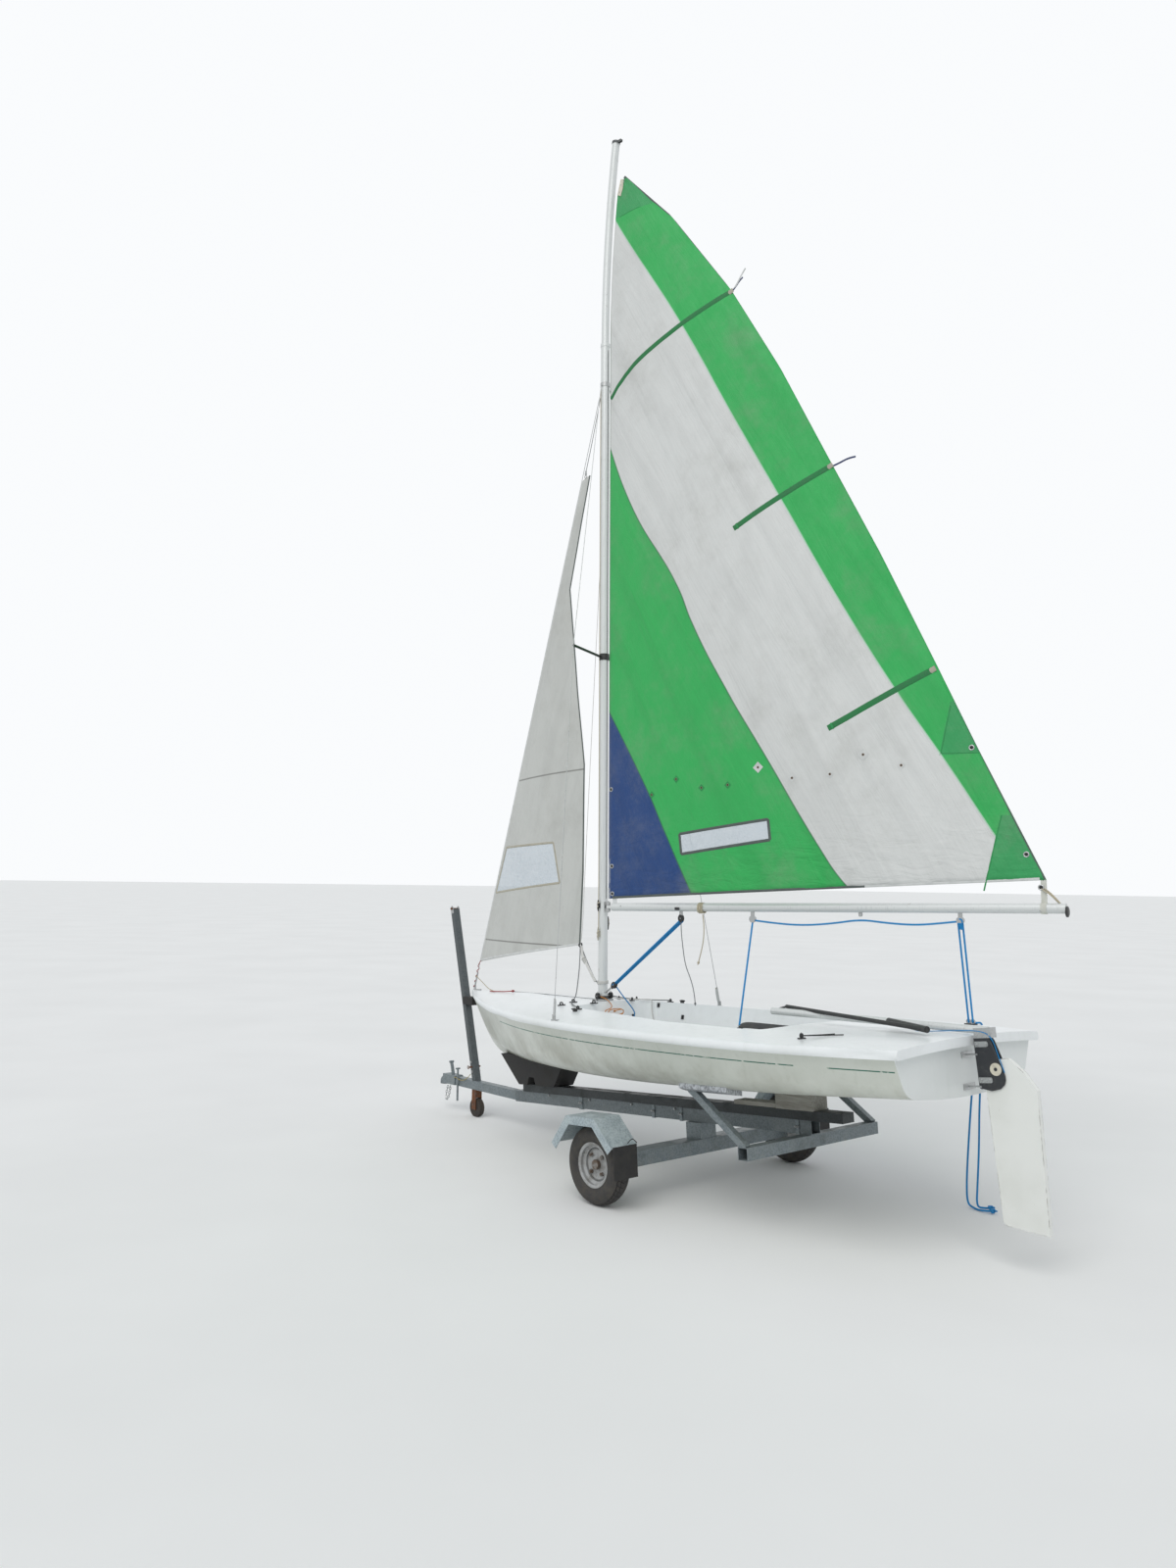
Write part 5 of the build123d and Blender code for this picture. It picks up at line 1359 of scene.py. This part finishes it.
def add_cam_cleat(shape):
    """Two cams on a base, over the origin of the shape's frame, of materials 0 and 1."""
    shape.box((-0.009, -0.013, -0.003), (0.009, 0.013, 0.004), 0, 0.0015)
    for y in (-0.0070, 0.0070):
        cam = [(0, 0.0050), (0.2, 0.0058), (0.8, 0.0058), (1, 0.0044)]
        shape.turned((0, y, 0.003), (0, y, 0.012), cam, 0, 9)
        shape.pin((0, y, 0.010), (0, y, 0.0140), 0.0020, 1, 10)


# Cleats on the cockpit's walls: place, and the way that the wall faces
WALL_CLEATS = [
    ((0.451, -0.158, 0.811), (-0.97, 0.0, 0.23)),
    ((0.402, -0.326, 0.873), (-0.27, 0.94, 0.20)),
    ((0.208, -0.343, 0.817), (-0.13, 0.97, 0.18)),
]
FAIRLEADS = [(0.580, 0.304, 60), (0.613, 0.185, 30), (0.344, 0.371, 10), (0.458, 0.154, 20)]


def make_deck_fittings():
    shape = Shape()
    for x, y, heading in FAIRLEADS:
        for side in (1, -1):
            shape.frame = deck_place(x, side * y, side * heading)
            shape.box((-0.023, -0.009, -0.001), (0.023, 0.009, 0.005), 0, 0.0015)
            shape.ring((0, 0, 0.010), (0, 1, 0), 0.0080, 0.0042, 0, 22, 8)
            for end in (-0.017, 0.017):
                shape.pin((end, 0, 0.002), (end, 0, 0.0066), 0.0032, 1, 12)
    shape.frame = deck_place(-1.417, 0.527, 70)
    shape.box((-0.017, -0.009, -0.001), (0.017, 0.009, 0.005), 0, 0.0015)
    add_block(shape, (0, 0, 0.014), 0.0095)
    for side in (1, -1):
        shape.frame = deck_place(0.300, side * 0.430, side * 8)
        add_cleat(shape, 0.056, 0)
    shape.frame = deck_place(-1.570, -0.612, 0)
    shape.box((-0.030, -0.013, -0.001), (0.030, 0.013, 0.005), 0, 0.0015)
    for x in (0.012, -0.012):
        shape.ring((x, 0, 0.015), (0, 1, 0), 0.011, 0.0035, 1, 20, 8)
    for (x, y, z), (nx, ny, nz) in WALL_CLEATS:
        for side in (1, -1):
            out = Vector((nx, side * ny, nz)).normalized()
            along = out.cross(Vector((0, 0, 1))).normalized()
            shape.frame = axes_at((x, side * y, z), along, out.cross(along), out)
            add_cam_cleat(shape)
    shape.done("deck_fittings", [BLACK, STEEL], "root")
    lines = []
    for k in (0, 1):
        start = on_row_deck(-1.420 - 0.006 * k, 0.520, 0.013)
        middle = on_row_deck(-1.437 - 0.022 * k, 0.430, 0.007)
        end = on_row_deck(-1.452 - 0.050 * k, 0.335, 0.003)
        lines.append(smooth_path([start, middle, end]))
    tubes("stern_lines", lines, 0.0026, BLACK_CORD_AND_HOLE_SHADE, "root")
    strap = Shape()
    run = [(-0.548, 0, 0.815), (-0.566, 0, 0.862), (-0.600, 0, 0.878), (-0.720, 0, 0.882),
           (-0.860, 0, 0.886), (-0.980, 0, 0.889), (-1.044, 0, 0.893)]
    strap.swept(smooth_path(run), (0.019, 0.0055), 0, 14, (0.1, 0.8, 0.6))
    strap.done("hiking_strap", [WEBBING], "root")


# Horn cleats on the mast: side, height, length, material
MAST_CLEATS = [(1, 0.578, 0.070, 0), (1, 0.405, 0.082, 2), (-1, 0.470, 0.082, 0)]


def make_mast_fittings():
    shape = Shape(MAST)
    collar = [(0, 0.0286), (0.12, 0.0312), (0.88, 0.0312), (1, 0.0260)]
    shape.turned((0, 0, 4.166), (0, 0, 4.192), collar, 3, 28)
    shape.swept([(-0.0284, 0, z) for z in (0.62, 1.8, 3.0, 4.14)], (0.0010, 0.0036), 0, 8, (1, 0, 0))
    for side, height, length, material in MAST_CLEATS:
        upright = turn(side * -math.pi / 2, "X") @ turn(math.pi / 2, "Z")
        shape.frame = MAST @ move(0, side * MAST_SIDE, height) @ upright
        add_cleat(shape, length, material)
    shape.frame = MAST
    base = [(0, 0.040), (0.15, 0.046), (0.5, 0.044), (0.7, 0.034), (1, 0.032)]
    shape.turned((0, 0, -0.002), (0, 0, 0.030), base, 0, 28)
    for side in (1, -1):
        add_block(shape, (-0.012, side * 0.052, 0.030), 0.017)
        shape.ring((0.004, side * 0.040, 0.014), (1, 0, 0), 0.010, 0.0028, 1, 18, 8)
    shape.done("mast_fittings", [BLACK, STEEL, BEIGE, SPAR], "root")
    sleeves = Shape()
    for side in (1, -1):
        low = Vector((0.2079, side * 0.6559, 0.894))
        run = Vector((0.1003, -side * 0.1553, 0.9828))
        profile = [(0, 0.0052), (0.06, 0.0072), (0.5, 0.0078), (0.92, 0.0066), (1, 0.0040)]
        sleeves.turned(low, low + run * 0.078, profile, 0, 18)
        collar = [(0, 0.0042), (0.5, 0.0048), (1, 0.0030)]
        sleeves.turned(low + run * 0.078, low + run * 0.086, collar, 1, 14)
    sleeves.done("shroud_sleeves", [WHITE_TAPE, BEIGE], "root")
    tails = Shape(MAST)
    for x, y, low in ((0.006, 0.0325, 0.420), (0.004, -0.0325, 0.490)):
        tails.swept(smooth_path([(x, y, low), (x, y, 1.4), (x, y * 1.04, 2.6), (x, y, 3.880)]), 0.0022)
    for y, z in ((0.047, 0.405), (0.047, 0.578), (-0.047, 0.470)):
        inner = y - math.copysign(0.006, y)
        for lift in (0.0, 0.003, 0.006):
            path = [(0.008, inner, z - 0.020 + lift), (-0.010, y, z - 0.006),
                    (0.010, y, z + 0.008), (-0.008, inner, z + 0.022 - lift)]
            tails.swept(smooth_path(path), 0.0024)
    tails.done("halyard_tails", [CREAM_ROPE], "root")
    leech_line = [(0.612, 0.022, 3.560), (0.631, 0.030, 3.076), (0.682, 0.050, 1.711),
                  (0.700, 0.048, 1.275)]
    leech_line.append(jib_point(1, 0) + Vector((0, 0.006, 0.004)))
    rope("jib_leech_line", leech_line, 0.0018, WHITE_ROPE, "root")


def boom_point(aft, port, height):
    return BOOM @ Vector((aft, -port, height))


def taut(start, end, steps=28):
    """Places along a tight rope, evenly spaced from end to end."""
    return [start.lerp(end, k / steps) for k in range(steps + 1)]


def make_vang():
    upper, lower = boom_point(0.525, 0, -0.078), Vector((0.452, 0.0, 1.006))
    top = Shape(BOOM)
    add_block(top, (0.525, 0, -0.062), 0.019)
    top.done("vang_upper_block", [BLACK, STEEL], "boom")
    base = Shape(Matrix.Translation(lower) @ turn(math.radians(140), "Y"))
    add_block(base, (0, 0, 0), 0.020)
    base.frame = Matrix.Identity(4)
    foot = MAST @ Vector((-0.030, 0, 0.052))
    base.swept([lower + (foot - lower) * 0.20, foot], (0.006, 0.002), 1, 12, ACROSS)
    base.pin(foot + Vector((0.002, -0.012, 0)), foot + Vector((0.002, 0.012, 0)), 0.004, 1, 12)
    base.done("vang_lower_block", [BLACK, STEEL], "root")
    sides = [Vector((0.006 * k, 0.011 * k, 0)) for k in (-1, 0, 1)]
    falls = [taut(upper + side, lower + side * 0.8) for side in sides]
    tubes("vang_falls", falls, 0.0042, BLUE_ROPE, ("boom", "root", upper, lower))
    tail = [(0.444, -0.012, 0.996), (0.432, -0.040, 0.955), (0.418, -0.080, 0.905), (0.415, -0.122, 0.862),
            (0.428, -0.152, 0.832), (0.443, -0.158, 0.815), (0.436, -0.162, 0.790), (0.425, -0.163, 0.760),
            (0.420, -0.160, 0.728)]
    hanging_rope("vang_tail", tail, 0.0036, BLUE_ROPE, "root")


SHEET_RADIUS = 0.0050


def make_mainsheet():
    under = [(0.997, 0, -0.064), (1.120, 0, -0.078), (1.300, 0, -0.088), (1.480, 0, -0.074),
             (1.638, 0, -0.050), (1.780, 0, -0.066), (1.930, 0, -0.074), (2.070, 0, -0.062),
             (2.166, 0, -0.050)]
    rope("mainsheet_boom", under, SHEET_RADIUS, BLUE_ROPE, "boom", BOOM)
    start, end = boom_point(0.997, 0, -0.074), Vector((-0.560, 0.0, 0.850))
    tubes("mainsheet_fall", [taut(start, end)], SHEET_RADIUS, BLUE_ROPE, ("boom", "root", start, end))
    ratchet = Shape(move(-0.565, 0, 0.832))
    add_block(ratchet, (0, 0, 0), 0.024)
    ratchet.box((-0.022, -0.016, -0.030), (0.022, 0.016, -0.014), 0, 0.003)
    ratchet.done("mainsheet_block", [BLACK, STEEL], "root")
    start, end = boom_point(2.166, 0, -0.060), on_row_deck(-1.570, -0.612, 0.014)
    falls = []
    for k in (-1, 1):
        falls.append(taut(start + Vector((0.010 * k, 0.004 * k, 0)), end + Vector((0.012 * k, 0, 0))))
    tubes("mainsheet_aft", falls, SHEET_RADIUS, BLUE_ROPE, ("boom", "root", start, end))
    first = [(-1.558, -0.612, 0.948), (-1.552, -0.650, 0.943), (-1.546, -0.694, 0.942),
             (-1.540, -0.716, 0.915), (-1.528, -0.714, 0.760), (-1.505, -0.712, 0.544),
             (-1.482, -0.712, 0.280), (-1.470, -0.714, 0.117), (-1.472, -0.716, 0.022),
             (-1.500, -0.722, 0.0055), (-1.555, -0.700, 0.0055), (-1.610, -0.715, 0.0136)]
    hanging_rope("mainsheet_tail", first, SHEET_RADIUS, BLUE_ROPE, "root")
    second = [(-1.582, -0.612, 0.948), (-1.582, -0.650, 0.943), (-1.580, -0.690, 0.942),
              (-1.576, -0.713, 0.915), (-1.570, -0.712, 0.760), (-1.552, -0.711, 0.560),
              (-1.545, -0.711, 0.300), (-1.532, -0.712, 0.110), (-1.524, -0.716, 0.024),
              (-1.534, -0.742, 0.0055), (-1.572, -0.758, 0.0136)]
    hanging_rope("mainsheet_end", second, SHEET_RADIUS, BLUE_ROPE, "root")


# The jib's sheets: x and height from the clew down, then points on deck to port
JIB_SHEET_FALL = [(0.770, 1.222), (0.706, 1.130), (0.684, 1.010), (0.655, 0.930)]
JIB_SHEET_DECK = [(0.613, 0.185, 0.911), (0.580, 0.230, 0.904), (0.480, 0.300, 0.900),
                  (0.344, 0.371, 0.9045)]


def make_loose_lines():
    grey = [(0.003, -0.118, 1.430), (0.002, -0.118, 1.360), (-0.012, -0.119, 1.260),
            (-0.033, -0.120, 1.152), (-0.080, -0.121, 1.072), (-0.108, -0.122, 0.990),
            (-0.113, -0.122, 0.940)]
    hanging_rope("boom_tail_grey", grey, 0.0026, GREY_ROPE, "boom")
    cream = [(-0.140, -0.152, 1.448), (-0.149, -0.153, 1.400), (-0.150, -0.153, 1.320),
             (-0.132, -0.153, 1.240), (-0.108, -0.152, 1.172)]
    hanging_rope("boom_tail_cream", cream, 0.0030, CREAM_ROPE, "boom")
    clew = jib_point(1, 0)
    for name, side, inner in (("port", 1, (0.006, 0.060, 0.092, 0.130)),
                              ("starboard", -1, (-0.002, 0.002, -0.052, -0.110))):
        slack = [(x, y, z) for (x, z), y in zip(JIB_SHEET_FALL, inner)]
        points = slack + [(x, side * y, z) for x, y, z in JIB_SHEET_DECK]
        loose_rope("jib_sheet_" + name, points, 0.0032, GREY_ROPE, "root")
    white = [clew + Vector((-0.006, -0.002, -0.010)), (0.730, 0.026, 1.170), (0.680, 0.034, 1.130),
             (0.630, 0.037, 1.072), (0.588, 0.034, 1.020)]
    rope("clew_strop", white, 0.0082, WHITE_ROPE, "root")
    tie = Shape(MAST)
    for k in range(3):
        tie.ring((0.001, 0, 0.104 + 0.007 * k), (0.06 - 0.05 * k, 0.03 * k, 1), 0.0318, 0.0036, 0, 32, 8)
    tie.frame = Matrix.Identity(4)
    for k in range(3):
        tie.ring((0.706 - 0.010 * k, 0.031, 1.152 - 0.010 * k), (0.7, 0, 0.7), 0.0098, 0.0052, 0, 18, 8)
    tie.done("clew_strop_knots", [WHITE_ROPE], "root")
    hank = [(0.552, 0.040, 0.934), (0.522, 0.041, 0.932), (0.488, 0.038, 0.926), (0.464, 0.028, 0.910),
            (0.450, 0.018, 0.888), (0.444, 0.026, 0.872), (0.442, 0.050, 0.866), (0.440, 0.074, 0.862),
            (0.437, 0.086, 0.850), (0.435, 0.080, 0.836), (0.433, 0.056, 0.829), (0.432, 0.010, 0.827),
            (0.432, -0.034, 0.828), (0.432, -0.056, 0.834), (0.433, -0.064, 0.847), (0.434, -0.054, 0.860),
            (0.432, -0.030, 0.866), (0.428, 0.010, 0.868), (0.424, 0.046, 0.866), (0.420, 0.068, 0.860),
            (0.418, 0.074, 0.848), (0.418, 0.064, 0.837), (0.418, 0.036, 0.833), (0.419, 0.000, 0.833),
            (0.419, -0.030, 0.835), (0.419, -0.048, 0.842), (0.418, -0.050, 0.855), (0.415, -0.034, 0.863),
            (0.412, -0.004, 0.864), (0.410, 0.028, 0.858)]
    hanging_rope("mast_foot_hank", hank, 0.0026, ORANGE_ROPE, "root")
    tail = [(0.548, -0.044, 0.932), (0.528, -0.084, 0.916), (0.498, -0.150, 0.912), (0.468, -0.230, 0.9075),
            (0.452, -0.280, 0.9065), (0.436, -0.302, 0.904), (0.424, -0.288, 0.884), (0.421, -0.287, 0.850),
            (0.414, -0.288, 0.810), (0.407, -0.292, 0.778)]
    hanging_rope("coaming_tail", tail, 0.0034, WHITE_ROPE, "root")
    foredeck = [(1.703, 0.028, 0.873), (1.640, 0.052, 0.8755), (1.560, 0.040, 0.881),
                (1.490, 0.059, 0.8865), (1.420, 0.045, 0.8950)]
    hanging_rope("foredeck_line", foredeck, 0.0034, RED_ROPE, "root")
    places = [(1.565, -0.037), (1.200, -0.030), (0.900, -0.012), (0.620, -0.020)]
    thin = [on_row_deck(x, y, 0.003) for x, y in places]
    rope("foredeck_thin_line", thin, 0.0018, GREY_ROPE, "root")


# Rudder and trailer


def make_rudder_trim():
    shape = Shape(RUDDER)
    for z in (0.004, -0.150):
        for x in (-0.058, -0.018):
            for side in (1, -1):
                shape.nut((x, side * 0.0222, z), (0, side, 0), 0.0052, 0.0036, 0)
    for x in (-0.080, -0.050, -0.020):
        for side in (1, -1):
            shape.nut((x, side * 0.0218, 0.042), (0, side, 0), 0.0046, 0.0030, 0)
    shape.done("rudder_bolts", [STEEL], "rudder")
    line = Shape(RUDDER)
    path = [(-0.128, 0.015, -0.118), (-0.112, 0.022, -0.040), (-0.098, 0.024, 0.024),
            (-0.060, 0.024, 0.060), (0.060, 0.019, 0.066), (0.300, 0.0195, 0.068)]
    line.swept(smooth_path(path), 0.0020)
    line.done("rudder_line", [BLUE_ROPE], "rudder")


POST_FOOT = Vector((1.8724, 0, 0.220))
POST_ANGLE = math.atan(0.2734)
POST_LONG = 1.196 * math.hypot(1, 0.2734)
BEAM_TOP, BEAM_SIZE = 0.192, 0.070
CLAMP_PLACES = (0.984, 0.337, 0.114, -0.715)


def make_trailer_trim():
    shape = Shape(TRAILER)
    for x in CLAMP_PLACES:
        for side in (1, -1):
            for dx in (-0.007, 0.007):
                shape.nut((x + dx, side * 0.036, BEAM_TOP - BEAM_SIZE / 2), (0, side, 0), 0.0068, 0.0100, 0)
    for x in (0.16, 0.52, 0.90, 1.30):
        for side in (1, -1):
            shape.nut((x, side * 0.033, BEAM_TOP - 0.012), (0, side, 0), 0.0070, 0.0090, 0)
    shape.frame = Matrix.Translation(POST_FOOT) @ turn(POST_ANGLE, "Y")
    top = POST_LONG
    cheek = [(-0.016, top - 0.030), (0.016, top - 0.030), (0.016, top + 0.014), (-0.004, top + 0.026),
             (-0.016, top + 0.014)]
    for y in (0.0255, -0.0255):
        shape.plate(cheek, y - 0.002, y + 0.002, 0, 0.001)
    shape.pin((0, -0.036, top + 0.006), (0, 0.036, top + 0.006), 0.0055, 1, 14)
    shape.nut((0, 0.028, top + 0.006), (0, 1, 0), 0.0095, 0.007, 1)
    for height in (0.085, 0.150):
        for side in (1, -1):
            shape.nut((0, side * 0.025, height), (0, side, 0), 0.0095, 0.008, 0)
    shape.pin((0.002, -0.046, 0.118), (0.002, 0.050, 0.118), 0.0060, 1, 14)
    shape.ring((0.002, 0.054, 0.118), (0, 1, 0), 0.010, 0.0026, 1, 18, 8)
    shape.done("trailer_bolts", [STEEL, RUSTY], "root", None, "galvanised")


def make_chain():
    """Safety chain hanging in a loop under the coupling."""
    path = smooth_path([(2.150, 0.034, 0.192), (2.150, 0.040, 0.130), (2.180, 0.038, 0.070),
                        (2.215, 0.030, 0.075), (2.225, 0.018, 0.125), (2.215, 0.012, 0.162)], 12)
    shape = Shape()
    along, count = 0.0, 0
    for a, b in zip(path, path[1:]):
        along += (b - a).length
        if along < 0.0165 * (count + 1):
            continue
        count += 1
        run = (b - a).normalized()
        side = run.orthogonal().normalized()
        side = Matrix.Rotation(math.radians(90 * (count % 2)), 3, run) @ side
        shape.frame = axes_at(b, run * 1.45, side, run.cross(side))
        shape.ring((0, 0, 0), (0, 0, 1), 0.0068, 0.0022, 0, 16, 6)
    shape.done("safety_chain", [STEEL], "root")


def make_cable():
    points = [(2.110, 0.034, 0.236), (2.080, 0.040, 0.242), (2.030, 0.040, 0.228), (1.980, 0.038, 0.232),
              (1.930, 0.036, 0.262), (1.905, 0.034, 0.285)]
    loose_rope("breakaway_cable", points, 0.0026, CABLE, "root")
    clips = Shape()
    for x, z in ((-0.400, 0.368), (-0.520, 0.330)):
        clip = [(x, 0.700, z + 0.010), (x + 0.006, 0.715, z + 0.030), (x - 0.004, 0.745, z + 0.034),
                (x - 0.010, 0.770, z + 0.018)]
        clips.swept(smooth_path(clip), 0.0024)
    clips.done("fender_clips", [BLACK], "root")


make_jib_trim()
make_deck_fittings()
make_mast_fittings()
make_vang()
make_mainsheet()
make_loose_lines()
make_rudder_trim()
make_trailer_trim()
make_chain()
make_cable()
make_battens()
make_reef_points()
make_eyes()
make_main_tapes()
make_headboard()
make_boom_trim()
